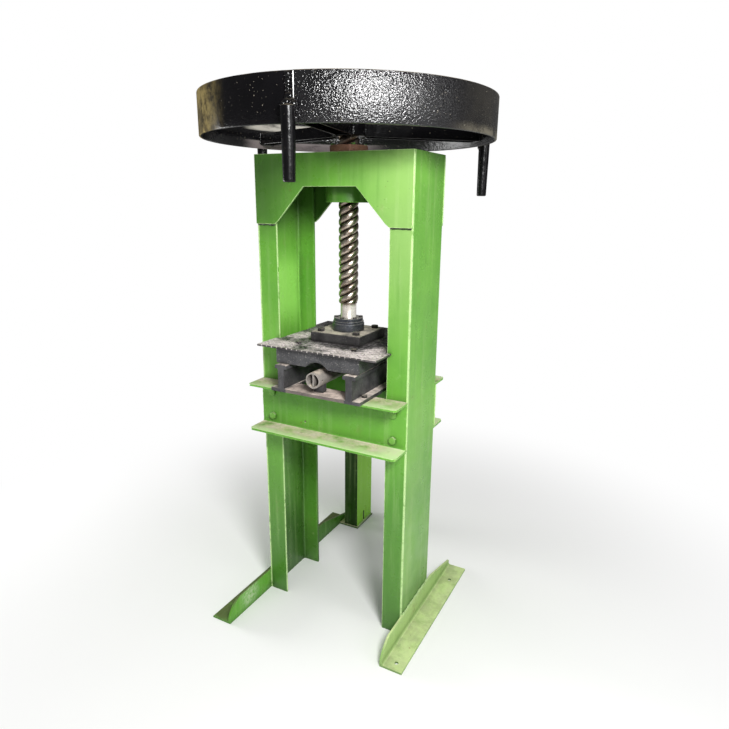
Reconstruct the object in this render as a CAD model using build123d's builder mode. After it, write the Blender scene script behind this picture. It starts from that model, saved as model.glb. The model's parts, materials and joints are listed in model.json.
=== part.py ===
"""Hand press: a welded two-column frame, a three-start screw turned by a heavy rim
wheel, a ram guided between the columns, and a forming die on the bed.

Millimetres. +Z is up and the front is -Y. The origin is on the floor, below the
screw axis, half way between the columns."""
import os
from math import cos, radians, sin, sqrt

from build123d import *

os.makedirs("parts", exist_ok=True)

# Columns: U channels on end, web outward
FRAME_WIDTH = 600
FRAME_HEIGHT = 1728
COLUMN_DEPTH = 250
COLUMN_FLANGE = 80
COLUMN_WEB_THICK = 8
COLUMN_FLANGE_THICK = 10
COLUMN_ROOT = 8

# Head: two gusset plates lapped on the flanges, with two deck plates between
HEAD_HEIGHT = 232
HEAD_PLATE = 8
ARCH_TOP_WIDTH = 200
ARCH_FOOT_WIDTH = 410
ARCH_RISE = 113
ARCH_FOOT_STEP = 12
DECK_TOP_THICK = 20
DECK_TOP_DROP = 2
DECK_LOW_THICK = 12
DECK_LOW_HEIGHT = 1640

# Bed: two channel beams, webs against the columns, flanges outward
BED_HEIGHT = 926
BEAM_DEPTH = 180
BEAM_FLANGE = 97
BEAM_THICK = 8
BEAM_ROOT = 8
BEAM_CORNER = 16
SPARE_HOLE = 8
SPARE_HOLE_X = -109
SPARE_HOLE_RISE = 38
BED_BOLT = 16
BED_BOLT_X = 252
BED_BOLT_RISE = 37
BED_BOLT_PITCH = 94

# Feet: angle bars welded along the column webs
FOOT_LEG = 85
FOOT_THICK = 8
FOOT_ROOT = 8
FOOT_FRONT_BEVEL = 65
FOOT_FRONT_NOSE = 25
FOOT_FRONT_BULGE = 7
FOOT_REAR_BEVEL = 220
FOOT_REAR_NOSE = 28
RIGHT_FOOT_FRONT = -305
RIGHT_FOOT_REAR = 376
LEFT_FOOT_FRONT = -390
LEFT_FOOT_REAR = 515
ANCHOR_HOLE = 14
ANCHOR_GAUGE = 50
ANCHOR_PITCH = 540

# Rear leg: a channel behind the left column, tied to the bed and to the foot
REAR_LEG_DEPTH = 150
REAR_LEG_FLANGE = 70
REAR_LEG_WEB = 7
REAR_LEG_FLANGE_THICK = 9
REAR_LEG_ROOT = 6
REAR_LEG_DROP = 46
REAR_LEG_FACE_X = -203
REAR_LEG_FRONT_Y = 452
SLOT_WIDTH = 14
SLOT_LENGTH = 56
SLOT_INSET = 68
SLOT_HEIGHT = 38
REAR_TIE_DEPTH = 80
REAR_TIE_THICK = 10
REAR_TIE_DROP = 56
REAR_TIE_OFFSET = 30
FOOT_TIE_THICK = 8
FOOT_TIE_MARGIN = 6

# Nut, in a boss between the decks
NUT_BODY_DIAMETER = 92
NUT_BODY_FOOT = 1590
NUT_FLANGE_DIAMETER = 130
NUT_FLANGE_THICK = 30
NUT_EDGE = 2
HOUSING_DIAMETER = 160
HOUSING_FOOT = 1571
NUT_BOLT = 8
NUT_BOLT_CIRCLE = 111
NUT_BOLT_COUNT = 4
NUT_BOLT_BITE = 14

# Screw, from its thrust flange up to the threaded tip above the hub
SCREW_DIAMETER = 70
SCREW_CLEARANCE = 0.3
NECK_LENGTH = 69.3
THREAD_CHAMFER = 6
NECK_DIAMETER = 57
JOURNAL_DIAMETER = 54
TIP_DIAMETER = 48
TIP_PROUD = 4
TIP_CHAMFER = 2
THRUST_FLANGE_DIAMETER = 75

# Wheel
WHEEL_DIAMETER = 978
RIM_HEIGHT = 128
RIM_THICK = 12
RIM_FOOT = 1770
RIM_EDGE = 2
HUB_DIAMETER = 112
HUB_HEIGHT = 66
HUB_LIFT = 15
HUB_EDGE = 3
SPOKE_WIDTH = 62
SPOKE_HEIGHT = 40
SPOKE_THICK = 6
ARM_BEARINGS = {"front": -78.5, "right": 45, "left": 162}
KEY_WIDTH = 14
KEY_HALF_HEIGHT = 4.5
KEY_MARGIN = 3
TIP_NUT_ACROSS_FLATS = 75
TIP_NUT_HEIGHT = 28
TIP_NUT_BEVEL = 6
TIP_WASHER_DIAMETER = 92
TIP_WASHER_THICK = 6

# Handles: tapered bars hung from the outside of the rim
HANDLE_TOP_DIAMETER = 40
HANDLE_END_DIAMETER = 34
HANDLE_LENGTHS = {"front": 190, "right": 214, "left": 204}
HANDLE_LAP = 42
HANDLE_EDGE = 5

# Thrust collar that carries the ram under the screw
COLLAR_DIAMETER = 116
COLLAR_HEIGHT = 27
COLLAR_FLOOR = 5
COLLAR_EDGE = 2
COLLAR_POCKET_GAP = 1
THRUST_DISC_THICK = 8
SPACER_DIAMETER = 112
SPACER_THICK = 8
CAP_DIAMETER = 106
CAP_THICK = 11
CAP_EDGE = 1.5
RING_SPLIT = 1
NECK_CLEARANCE = 0.5
CAP_BOLT = 8
CAP_BOLT_CIRCLE = 90
CAP_BOLT_COUNT = 6
CAP_BOLT_BITE = 14

# Ram: square plate, guide plate that slides between the columns, and punch
RAM_PLATE_SIDE = 200
RAM_PLATE_THICK = 34
RAM_PLATE_EDGE = 2
RAM_BOLT = 16
RAM_BOLT_PITCH = 144
RAM_BOLT_BITE = 24
GUIDE_CLEARANCE = 1
GUIDE_EAR = 16
GUIDE_EAR_CLEARANCE = 2
GUIDE_LENGTH = 482
GUIDE_THICK = 6
GUIDE_CORNER = 3
GUIDE_BOLT = 12
GUIDE_BOLT_X = 112
GUIDE_BOLT_Y = 160
GUIDE_BOLT_BITE = 20
PUNCH_WIDTH = 330
PUNCH_LENGTH = 444
PUNCH_HEIGHT = 56
PUNCH_EDGE = 3
PUNCH_TO_RAIL = 2
GROOVE_RADIUS = 58

# Die: two rails with a round core between them, on straps across the beams
DIE_LENGTH = 480
RAIL_WEB_INNER = 124
RAIL_WEB_THICK = 24
RAIL_HEAD_WIDTH = 48
RAIL_HEAD_THICK = 14
RAIL_HEIGHT = 98
RAIL_FOOT_INNER = 118
RAIL_FOOT_OUTER = 178
RAIL_FOOT_THICK = 12
RAIL_ROOT = 4
RAIL_HEAD_EDGE = 7
STRAP_WIDTH = 84
DIE_BOLT = 12
DIE_BOLT_X = 163
DIE_BOLT_Y = 178

# Core: a pipe with a web across its mouth, on two saddles
CORE_DIAMETER = 56
CORE_WALL = 5
CORE_PROUD = 5
CORE_HEIGHT = 63
CORE_WEB_THICK = 5
CORE_WEB_LENGTH = 60
CORE_WEB_RECESS = 1
CORE_PIN_HOLE = 9
CORE_PIN_HOLE_INSET = 17
SADDLE_WIDTH = 36
SADDLE_LENGTH = 24
SADDLE_DROP = 16

# Gaps between pieces that fit each other
SLIP_GAP = 0.3
WELD_GAP = 0.1
HOLE_ALLOWANCE = 1

# Hexagon fasteners by thread diameter
FLATS_RATIO = 1.4
FLATS_EXTRA = 1.6
BOLT_HEAD_RATIO = 0.63
NUT_RATIO = 0.82
WASHER_DIAMETER = 30
WASHER_THICK = 3
BOLT_END = 4

# Places that follow from the sizes above
half_width = FRAME_WIDTH / 2
half_depth = COLUMN_DEPTH / 2
flange_inside = half_depth - COLUMN_FLANGE_THICK
column_opening = half_width - COLUMN_FLANGE
head_foot = FRAME_HEIGHT - HEAD_HEIGHT
deck_top = FRAME_HEIGHT - DECK_TOP_DROP
deck_under = deck_top - DECK_TOP_THICK
beam_foot = BED_HEIGHT - BEAM_DEPTH
beam_web_face = half_depth + BEAM_THICK
bed_bolt_heights = (beam_foot + BED_BOLT_RISE, beam_foot + BED_BOLT_RISE + BED_BOLT_PITCH)
rail_middle = RAIL_WEB_INNER + RAIL_WEB_THICK / 2
rail_top = BED_HEIGHT + RAIL_HEIGHT
strap_top = BED_HEIGHT + RAIL_FOOT_THICK
die_end = DIE_LENGTH / 2
strap_middle = die_end - STRAP_WIDTH / 2
core_axis = BED_HEIGHT + CORE_HEIGHT
core_end = die_end + CORE_PROUD
punch_foot = rail_top + PUNCH_TO_RAIL
guide_foot = punch_foot + PUNCH_HEIGHT
guide_top = guide_foot + GUIDE_THICK
guide_reach = column_opening - GUIDE_CLEARANCE + GUIDE_EAR
ram_top = guide_top + RAM_PLATE_THICK
collar_top = ram_top + COLLAR_HEIGHT
spacer_top = collar_top + SPACER_THICK
cap_top = spacer_top + CAP_THICK
disc_foot = ram_top + COLLAR_FLOOR
disc_top = disc_foot + THRUST_DISC_THICK
pocket_radius = THRUST_FLANGE_DIAMETER / 2 + COLLAR_POCKET_GAP
neck_bore = NECK_DIAMETER / 2 + NECK_CLEARANCE
screw_foot = disc_top + SLIP_GAP
thrust_flange_top = collar_top - SLIP_GAP
thread_foot = thrust_flange_top + NECK_LENGTH
wheel_radius = WHEEL_DIAMETER / 2
rim_inner = wheel_radius - RIM_THICK
hub_foot = RIM_FOOT + HUB_LIFT
hub_top = hub_foot + HUB_HEIGHT
journal_top = hub_top - SLIP_GAP
tip_nut_foot = hub_top + TIP_WASHER_THICK
tip_top = tip_nut_foot + TIP_NUT_HEIGHT + TIP_PROUD
handle_orbit = wheel_radius + HANDLE_TOP_DIAMETER / 2 + SLIP_GAP
handle_top = RIM_FOOT + HANDLE_LAP

LOW_ALIGN = (Align.CENTER, Align.MIN)


def save(builder, name):
    """Label a finished piece and write it as one STEP file."""
    builder.part.label = name
    export_step(builder.part, f"parts/{name}.step")


def channel(width, flange, web_thick, flange_thick, root):
    """A U section with the back of its web on x = 0 and its flanges towards +X."""
    with BuildSketch() as section:
        Rectangle(flange, width, align=(Align.MIN, Align.CENTER))
        with Locations((web_thick, 0)):
            Rectangle(flange, width - 2 * flange_thick, align=(Align.MIN, Align.CENTER),
                      mode=Mode.SUBTRACT)
        inside = section.vertices().filter_by(lambda v: abs(v.Y) < width / 2 - flange_thick / 2)
        fillet(inside.group_by(Axis.X)[0], radius=root)
        inside = section.vertices().filter_by(lambda v: abs(v.Y) < width / 2 - flange_thick / 2)
        fillet(inside.group_by(Axis.X)[-1], radius=flange_thick / 2)
    return section.sketch


def hexagon_block(across_flats, height, bevel):
    """A hexagon standing on z = 0 with the corners of its top end turned off."""
    with BuildPart() as block:
        Cylinder(across_flats / sqrt(3) + bevel / 4, height,
                 align=(Align.CENTER, Align.CENTER, Align.MIN))
        chamfer(block.edges().group_by(Axis.Z)[-1], length=bevel)
        with BuildSketch():
            RegularPolygon(radius=across_flats / 2, side_count=6, major_radius=False)
        extrude(amount=height, mode=Mode.INTERSECT)
    return block.part


def across_flats(size):
    """The width of a bolt's head or nut, close to the standard one."""
    return FLATS_RATIO * size + FLATS_EXTRA


def hexagon_bolt(size, grip):
    """A bolt with its head on z = 0 and its shank below."""
    head = hexagon_block(across_flats(size), BOLT_HEAD_RATIO * size, size / 8)
    with BuildPart() as bolt:
        add(head)
        with BuildSketch():
            Circle(size / 2)
        extrude(amount=-grip)
        chamfer(bolt.edges().group_by(Axis.Z)[0], length=size / 16)
    return bolt.part


def hexagon_nut(size):
    """A nut seated on z = 0."""
    block = hexagon_block(across_flats(size), NUT_RATIO * size, size / 8)
    with BuildPart() as nut:
        add(block)
        with BuildSketch():
            Circle(size / 2 + WELD_GAP)
        extrude(amount=NUT_RATIO * size, mode=Mode.SUBTRACT)
    return nut.part


def clearance_hole(size):
    """The round of a clearance hole for a bolt of this size."""
    return (size + HOLE_ALLOWANCE) / 2


def bolt_ring(circle, count):
    """The places of a ring of bolts, turned so that none stands on the X axis."""
    return PolarLocations(circle / 2, count, start_angle=180 / count)


# Columns
column_section = channel(COLUMN_DEPTH, COLUMN_FLANGE, COLUMN_WEB_THICK, COLUMN_FLANGE_THICK,
                         COLUMN_ROOT)
for side, turn, name in ((-1, 0, "left_column"), (1, 180, "right_column")):
    with BuildPart() as column:
        with BuildSketch():
            with Locations(Location((side * half_width, 0, 0), (0, 0, turn))):
                add(column_section)
        extrude(amount=FRAME_HEIGHT)
        with BuildSketch(Plane.XZ):
            with Locations(*[(side * BED_BOLT_X, height) for height in bed_bolt_heights]):
                Circle(clearance_hole(BED_BOLT))
        extrude(amount=COLUMN_DEPTH, both=True, mode=Mode.SUBTRACT)
    save(column, name)

# Head gusset plates, with the arch that clears the ram
for face_y, name in ((-half_depth, "head_front_plate"), (half_depth + HEAD_PLATE, "head_back_plate")):
    with BuildPart() as head_plate:
        with BuildSketch(Plane.XZ.offset(-face_y)):
            with Locations((0, head_foot)):
                Rectangle(FRAME_WIDTH, HEAD_HEIGHT, align=LOW_ALIGN)
            with BuildLine():
                Polyline(
                    (-column_opening, head_foot),
                    (-ARCH_FOOT_WIDTH / 2, head_foot + ARCH_FOOT_STEP),
                    (-ARCH_TOP_WIDTH / 2, head_foot + ARCH_FOOT_STEP + ARCH_RISE),
                    (ARCH_TOP_WIDTH / 2, head_foot + ARCH_FOOT_STEP + ARCH_RISE),
                    (ARCH_FOOT_WIDTH / 2, head_foot + ARCH_FOOT_STEP),
                    (column_opening, head_foot),
                    close=True,
                )
            make_face(mode=Mode.SUBTRACT)
        extrude(amount=HEAD_PLATE)
    save(head_plate, name)

# The decks fill the head between the plates, clear of the channels' roots
with BuildSketch() as deck_outline:
    Rectangle(FRAME_WIDTH - 2 * COLUMN_WEB_THICK, 2 * flange_inside)
    chamfer(deck_outline.vertices(), length=COLUMN_ROOT + 1)
    Rectangle(2 * column_opening, COLUMN_DEPTH)

# Upper deck: it carries the nut
with BuildPart() as head_top_deck:
    with BuildSketch(Plane.XY.offset(deck_under)):
        add(deck_outline.sketch)
        Circle(NUT_BODY_DIAMETER / 2 + SLIP_GAP, mode=Mode.SUBTRACT)
        with bolt_ring(NUT_BOLT_CIRCLE, NUT_BOLT_COUNT):
            Circle(clearance_hole(NUT_BOLT), mode=Mode.SUBTRACT)
    extrude(amount=DECK_TOP_THICK)
save(head_top_deck, "head_top_deck")

# Lower deck: it steadies the boss of the nut
with BuildPart() as head_lower_deck:
    with BuildSketch(Plane.XY.offset(DECK_LOW_HEIGHT)):
        add(deck_outline.sketch)
        Circle(HOUSING_DIAMETER / 2 + WELD_GAP, mode=Mode.SUBTRACT)
    extrude(amount=DECK_LOW_THICK)
save(head_lower_deck, "head_lower_deck")

# Nut boss, hung under the upper deck
with BuildPart() as nut_housing:
    with BuildSketch(Plane.XY.offset(HOUSING_FOOT)):
        Circle(HOUSING_DIAMETER / 2)
        Circle(NUT_BODY_DIAMETER / 2 + SLIP_GAP, mode=Mode.SUBTRACT)
    extrude(amount=deck_under - HOUSING_FOOT)
    with BuildSketch(Plane.XY.offset(deck_under)):
        with bolt_ring(NUT_BOLT_CIRCLE, NUT_BOLT_COUNT):
            Circle(clearance_hole(NUT_BOLT))
    extrude(amount=-(NUT_BOLT_BITE + BOLT_END), mode=Mode.SUBTRACT)
    chamfer(nut_housing.edges().group_by(Axis.Z)[0], length=NUT_EDGE)
save(nut_housing, "nut_housing")

# Flanged bronze nut, dropped in from above
with BuildPart() as bronze_nut:
    with BuildSketch(Plane.XY.offset(NUT_BODY_FOOT)):
        Circle(NUT_BODY_DIAMETER / 2)
    extrude(amount=deck_top - NUT_BODY_FOOT)
    with BuildSketch(Plane.XY.offset(deck_top)):
        Circle(NUT_FLANGE_DIAMETER / 2)
    extrude(amount=NUT_FLANGE_THICK)
    chamfer(bronze_nut.edges().group_by(Axis.Z)[-1], length=NUT_EDGE)
    with BuildSketch(Plane.XY.offset(NUT_BODY_FOOT)):
        Circle(SCREW_DIAMETER / 2 + SCREW_CLEARANCE)
    extrude(amount=deck_top + NUT_FLANGE_THICK - NUT_BODY_FOOT, mode=Mode.SUBTRACT)
    with BuildSketch(Plane.XY.offset(deck_top)):
        with bolt_ring(NUT_BOLT_CIRCLE, NUT_BOLT_COUNT):
            Circle(clearance_hole(NUT_BOLT))
    extrude(amount=NUT_FLANGE_THICK, mode=Mode.SUBTRACT)
save(bronze_nut, "bronze_nut")

# Bolts of the nut's flange
nut_bolt = hexagon_bolt(NUT_BOLT, NUT_FLANGE_THICK + DECK_TOP_THICK + NUT_BOLT_BITE)
with BuildPart() as nut_bolts:
    with Locations((0, 0, deck_top + NUT_FLANGE_THICK)):
        with bolt_ring(NUT_BOLT_CIRCLE, NUT_BOLT_COUNT):
            add(nut_bolt)
save(nut_bolts, "nut_bolts")

# Bed beams, with rounded outer corners
beam_section = channel(BEAM_DEPTH, BEAM_FLANGE, BEAM_THICK, BEAM_THICK, BEAM_ROOT)
for side, turn, name in ((-1, 180, "front_bed_beam"), (1, 0, "rear_bed_beam")):
    with BuildPart() as beam:
        with BuildSketch(Plane.YZ.offset(-half_width)):
            with Locations(Location((side * half_depth, BED_HEIGHT - BEAM_DEPTH / 2, 0), (0, 0, turn))):
                add(beam_section)
        extrude(amount=FRAME_WIDTH)
        with BuildSketch(Plane.XY.offset(beam_foot)) as plan:
            with Locations((0, side * (half_depth + BEAM_FLANGE / 2))):
                Rectangle(FRAME_WIDTH, BEAM_FLANGE)
            outer = plan.vertices().filter_by(lambda v: abs(v.Y) > half_depth + BEAM_FLANGE / 2)
            fillet(outer, radius=BEAM_CORNER)
        extrude(amount=BEAM_DEPTH, mode=Mode.INTERSECT)
        with BuildSketch(Plane.XZ):
            with Locations(*[(x, z) for x in (-BED_BOLT_X, BED_BOLT_X) for z in bed_bolt_heights]):
                Circle(clearance_hole(BED_BOLT))
            if side < 0:
                with Locations((SPARE_HOLE_X, beam_foot + SPARE_HOLE_RISE)):
                    Circle(SPARE_HOLE / 2)
        extrude(amount=COLUMN_DEPTH, both=True, mode=Mode.SUBTRACT)
        with BuildSketch(Plane.XY.offset(BED_HEIGHT)):
            with GridLocations(2 * DIE_BOLT_X, 2 * DIE_BOLT_Y, 2, 2):
                Circle(clearance_hole(DIE_BOLT))
        extrude(amount=-BEAM_THICK, mode=Mode.SUBTRACT)
    save(beam, name)

# Bolts, washers and nuts that hold the beams to the column flanges
bed_grip = BEAM_THICK + COLUMN_FLANGE_THICK + WASHER_THICK + NUT_RATIO * BED_BOLT + BOLT_END
bed_places = [(side, x, z) for side in (-1, 1) for x in (-BED_BOLT_X, BED_BOLT_X)
              for z in bed_bolt_heights]
bed_bolt = hexagon_bolt(BED_BOLT, bed_grip)
with BuildPart() as bed_bolts:
    with Locations(*[Plane(origin=(x, side * beam_web_face, z), z_dir=(0, side, 0))
                     for side, x, z in bed_places]):
        add(bed_bolt)
save(bed_bolts, "bed_bolts")

bed_nut = hexagon_nut(BED_BOLT)
with BuildPart() as bed_nuts:
    with Locations(*[Plane(origin=(x, side * (flange_inside - WASHER_THICK), z), z_dir=(0, -side, 0))
                     for side, x, z in bed_places]):
        add(bed_nut)
save(bed_nuts, "bed_nuts")

with BuildPart() as bed_washer:
    with BuildSketch():
        Circle(WASHER_DIAMETER / 2)
        Circle(clearance_hole(BED_BOLT), mode=Mode.SUBTRACT)
    extrude(amount=WASHER_THICK)
with BuildPart() as bed_washers:
    with Locations(*[Plane(origin=(x, side * flange_inside, z), z_dir=(0, -side, 0))
                     for side, x, z in bed_places]):
        add(bed_washer.part)
save(bed_washers, "bed_washers")

# Feet: the upright leg is bevelled in front and runs out in a long slope behind
for side, front, rear, name in (
    (-1, LEFT_FOOT_FRONT, LEFT_FOOT_REAR, "left_foot"),
    (1, RIGHT_FOOT_FRONT, RIGHT_FOOT_REAR, "right_foot"),
):
    outward = (Align.MIN if side > 0 else Align.MAX, Align.MIN)
    with BuildPart() as foot:
        with BuildSketch(Plane.XZ.offset(-rear)) as angle:
            with Locations((side * half_width, 0)):
                Rectangle(FOOT_THICK, FOOT_LEG, align=outward)
                Rectangle(FOOT_LEG, FOOT_THICK, align=outward)
            root = angle.vertices().filter_by(
                lambda v: abs(v.X) < half_width + FOOT_LEG / 2 and 0 < v.Y < FOOT_LEG / 2)
            fillet(root, radius=FOOT_ROOT)
            toes = angle.vertices().filter_by(
                lambda v: (abs(v.X) > half_width + FOOT_LEG / 2 and v.Y > 0)
                or (abs(v.X) > half_width and v.Y > FOOT_LEG / 2))
            fillet(toes, radius=FOOT_THICK / 2)
        extrude(amount=rear - front)
        with BuildSketch(Plane.YZ):
            with BuildLine():
                Polyline(
                    (front + FOOT_FRONT_BEVEL, FOOT_LEG),
                    (front, FOOT_LEG),
                    (front, FOOT_FRONT_NOSE),
                )
                ThreePointArc(
                    (front, FOOT_FRONT_NOSE),
                    (front + FOOT_FRONT_BEVEL / 2 - FOOT_FRONT_BULGE,
                     (FOOT_LEG + FOOT_FRONT_NOSE) / 2 + FOOT_FRONT_BULGE),
                    (front + FOOT_FRONT_BEVEL, FOOT_LEG),
                )
            make_face()
            with BuildLine():
                Polyline(
                    (rear, FOOT_REAR_NOSE),
                    (rear, FOOT_LEG),
                    (rear - FOOT_REAR_BEVEL, FOOT_LEG),
                    close=True,
                )
            make_face()
        extrude(amount=side * FRAME_WIDTH, mode=Mode.SUBTRACT)
        with BuildSketch():
            with Locations(*[(side * (half_width + ANCHOR_GAUGE), y)
                             for y in (-ANCHOR_PITCH / 2, ANCHOR_PITCH / 2)]):
                Circle(ANCHOR_HOLE / 2)
        extrude(amount=FOOT_THICK, mode=Mode.SUBTRACT)
    save(foot, name)

# Rear leg, with its web towards the screw and a slot near the floor
rear_section = channel(REAR_LEG_DEPTH, REAR_LEG_FLANGE, REAR_LEG_WEB, REAR_LEG_FLANGE_THICK,
                       REAR_LEG_ROOT)
with BuildPart() as rear_leg:
    with BuildSketch(Plane.XY.offset(FOOT_TIE_THICK)):
        with Locations(Location((REAR_LEG_FACE_X, REAR_LEG_FRONT_Y + REAR_LEG_DEPTH / 2, 0), (0, 0, 180))):
            add(rear_section)
    extrude(amount=BED_HEIGHT - REAR_LEG_DROP - FOOT_TIE_THICK)
    with BuildSketch(Plane.YZ):
        with Locations((REAR_LEG_FRONT_Y + SLOT_INSET, SLOT_HEIGHT)):
            SlotOverall(SLOT_LENGTH, SLOT_WIDTH, rotation=90)
    extrude(amount=-FRAME_WIDTH, mode=Mode.SUBTRACT)
save(rear_leg, "rear_leg")

# Flat bar from the rear beam to the rear leg
with BuildPart() as rear_leg_tie:
    with BuildSketch(Plane.XZ.offset(-REAR_LEG_FRONT_Y)):
        with Locations((REAR_TIE_OFFSET - BED_BOLT_X, BED_HEIGHT - REAR_TIE_DROP)):
            Rectangle(REAR_TIE_THICK, REAR_TIE_DEPTH, align=(Align.CENTER, Align.MAX))
    extrude(amount=REAR_LEG_FRONT_Y - beam_web_face)
save(rear_leg_tie, "rear_leg_tie")

# Plate that joins the rear leg to the left foot
with BuildPart() as rear_foot_plate:
    with BuildSketch():
        with Locations((-half_width, REAR_LEG_FRONT_Y - FOOT_TIE_MARGIN)):
            Rectangle(half_width + REAR_LEG_FACE_X + FOOT_TIE_MARGIN,
                      REAR_LEG_DEPTH + 2 * FOOT_TIE_MARGIN, align=(Align.MIN, Align.MIN))
    extrude(amount=FOOT_TIE_THICK)
save(rear_foot_plate, "rear_foot_plate")

# Die rails
for side, name in ((-1, "die_left_rail"), (1, "die_right_rail")):
    with BuildPart() as rail:
        with BuildSketch(Plane.XZ.offset(-die_end)) as section:
            with Locations((side * (RAIL_FOOT_INNER + RAIL_FOOT_OUTER) / 2, BED_HEIGHT)):
                Rectangle(RAIL_FOOT_OUTER - RAIL_FOOT_INNER, RAIL_FOOT_THICK, align=LOW_ALIGN)
            with Locations((side * rail_middle, BED_HEIGHT)):
                Rectangle(RAIL_WEB_THICK, RAIL_HEIGHT, align=LOW_ALIGN)
            with Locations((side * rail_middle, rail_top - RAIL_HEAD_THICK)):
                Rectangle(RAIL_HEAD_WIDTH, RAIL_HEAD_THICK, align=LOW_ALIGN)
            roots = section.vertices().filter_by(
                lambda v: abs(abs(v.X) - rail_middle) < RAIL_WEB_THICK / 2 + WELD_GAP
                and BED_HEIGHT < v.Y < rail_top)
            fillet(roots, radius=RAIL_ROOT)
            fillet(section.vertices().group_by(Axis.Y)[-1], radius=RAIL_HEAD_EDGE)
        extrude(amount=DIE_LENGTH)
        with BuildSketch(Plane.XY.offset(BED_HEIGHT)):
            with Locations(*[(side * DIE_BOLT_X, y) for y in (-DIE_BOLT_Y, DIE_BOLT_Y)]):
                Circle(clearance_hole(DIE_BOLT))
        extrude(amount=RAIL_FOOT_THICK, mode=Mode.SUBTRACT)
    save(rail, name)

# Straps between the rails' feet
for side, name in ((-1, "die_front_strap"), (1, "die_rear_strap")):
    with BuildPart() as strap:
        with BuildSketch(Plane.XY.offset(BED_HEIGHT)):
            with Locations((0, side * strap_middle)):
                Rectangle(2 * RAIL_FOOT_INNER, STRAP_WIDTH)
        extrude(amount=RAIL_FOOT_THICK)
    save(strap, name)

# Bolts and nuts that hold the rails to the beam flanges
die_bolt = hexagon_bolt(DIE_BOLT, RAIL_FOOT_THICK + BEAM_THICK + NUT_RATIO * DIE_BOLT + BOLT_END)
with BuildPart() as die_bolts:
    with Locations((0, 0, strap_top)):
        with GridLocations(2 * DIE_BOLT_X, 2 * DIE_BOLT_Y, 2, 2):
            add(die_bolt)
save(die_bolts, "die_bolts")

die_nut = hexagon_nut(DIE_BOLT)
with BuildPart() as die_nuts:
    with Locations(Location((0, 0, BED_HEIGHT - BEAM_THICK), (180, 0, 0))):
        with GridLocations(2 * DIE_BOLT_X, 2 * DIE_BOLT_Y, 2, 2):
            add(die_nut)
save(die_nuts, "die_nuts")

# Saddles under the core
for side, name in ((-1, "front_core_saddle"), (1, "rear_core_saddle")):
    with BuildPart() as saddle:
        with BuildSketch(Plane.XZ.offset(-side * strap_middle - SADDLE_LENGTH / 2)):
            with Locations((0, strap_top)):
                Rectangle(SADDLE_WIDTH, core_axis - SADDLE_DROP - strap_top, align=LOW_ALIGN)
            with Locations((0, core_axis)):
                Circle(CORE_DIAMETER / 2 + SLIP_GAP, mode=Mode.SUBTRACT)
        extrude(amount=SADDLE_LENGTH)
    save(saddle, name)

# Core pipe, with a pin hole behind its rim
with BuildPart() as core_pipe:
    with BuildSketch(Plane.XZ.offset(-core_end)):
        with Locations((0, core_axis)):
            Circle(CORE_DIAMETER / 2)
            Circle(CORE_DIAMETER / 2 - CORE_WALL, mode=Mode.SUBTRACT)
    extrude(amount=2 * core_end)
    with BuildSketch(Plane.YZ):
        with Locations((CORE_PIN_HOLE_INSET - core_end, core_axis)):
            Circle(CORE_PIN_HOLE / 2)
    extrude(amount=CORE_DIAMETER, mode=Mode.SUBTRACT)
save(core_pipe, "core_pipe")

# Web across the mouth of the core
with BuildPart() as core_web:
    with BuildSketch(Plane.XZ.offset(core_end - CORE_WEB_RECESS)):
        with Locations((0, core_axis)):
            Circle(CORE_DIAMETER / 2 - CORE_WALL - WELD_GAP)
            Rectangle(CORE_WEB_THICK, CORE_DIAMETER, mode=Mode.INTERSECT)
    extrude(amount=-CORE_WEB_LENGTH)
save(core_web, "core_web")

# Punch, grooved along its underside to close over the core
with BuildPart() as punch_block:
    with BuildSketch(Plane.XZ.offset(-PUNCH_LENGTH / 2)) as section:
        with Locations((0, punch_foot)):
            Rectangle(PUNCH_WIDTH, PUNCH_HEIGHT, align=LOW_ALIGN)
        chamfer(section.vertices().group_by(Axis.Y)[0], length=PUNCH_EDGE)
        with Locations((0, core_axis)):
            Circle(GROOVE_RADIUS, mode=Mode.SUBTRACT)
    extrude(amount=PUNCH_LENGTH)
    with BuildSketch(Plane.XY.offset(guide_foot)):
        with GridLocations(RAM_BOLT_PITCH, RAM_BOLT_PITCH, 2, 2):
            Circle(clearance_hole(RAM_BOLT))
    extrude(amount=-(RAM_BOLT_BITE + BOLT_END), mode=Mode.SUBTRACT)
    with BuildSketch(Plane.XY.offset(guide_foot)):
        with GridLocations(2 * GUIDE_BOLT_X, 2 * GUIDE_BOLT_Y, 2, 2):
            Circle(clearance_hole(GUIDE_BOLT))
    extrude(amount=-(GUIDE_BOLT_BITE + BOLT_END), mode=Mode.SUBTRACT)
save(punch_block, "punch_block")

# Guide plate, notched at each side to slide on three faces of a column's flanges
with BuildPart() as guide_plate:
    with BuildSketch(Plane.XY.offset(guide_foot)) as plan:
        Rectangle(2 * guide_reach, GUIDE_LENGTH)
        fillet(plan.vertices(), radius=GUIDE_CORNER)
        with Locations((-guide_reach, 0), (guide_reach, 0)):
            Rectangle(2 * GUIDE_EAR, 2 * (half_depth + GUIDE_EAR_CLEARANCE), mode=Mode.SUBTRACT)
        with GridLocations(RAM_BOLT_PITCH, RAM_BOLT_PITCH, 2, 2):
            Circle(clearance_hole(RAM_BOLT), mode=Mode.SUBTRACT)
        with GridLocations(2 * GUIDE_BOLT_X, 2 * GUIDE_BOLT_Y, 2, 2):
            Circle(clearance_hole(GUIDE_BOLT), mode=Mode.SUBTRACT)
    extrude(amount=GUIDE_THICK)
save(guide_plate, "guide_plate")

guide_bolt = hexagon_bolt(GUIDE_BOLT, GUIDE_THICK + GUIDE_BOLT_BITE)
with BuildPart() as guide_plate_bolts:
    with Locations((0, 0, guide_top)):
        with GridLocations(2 * GUIDE_BOLT_X, 2 * GUIDE_BOLT_Y, 2, 2):
            add(guide_bolt)
save(guide_plate_bolts, "guide_plate_bolts")

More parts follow.
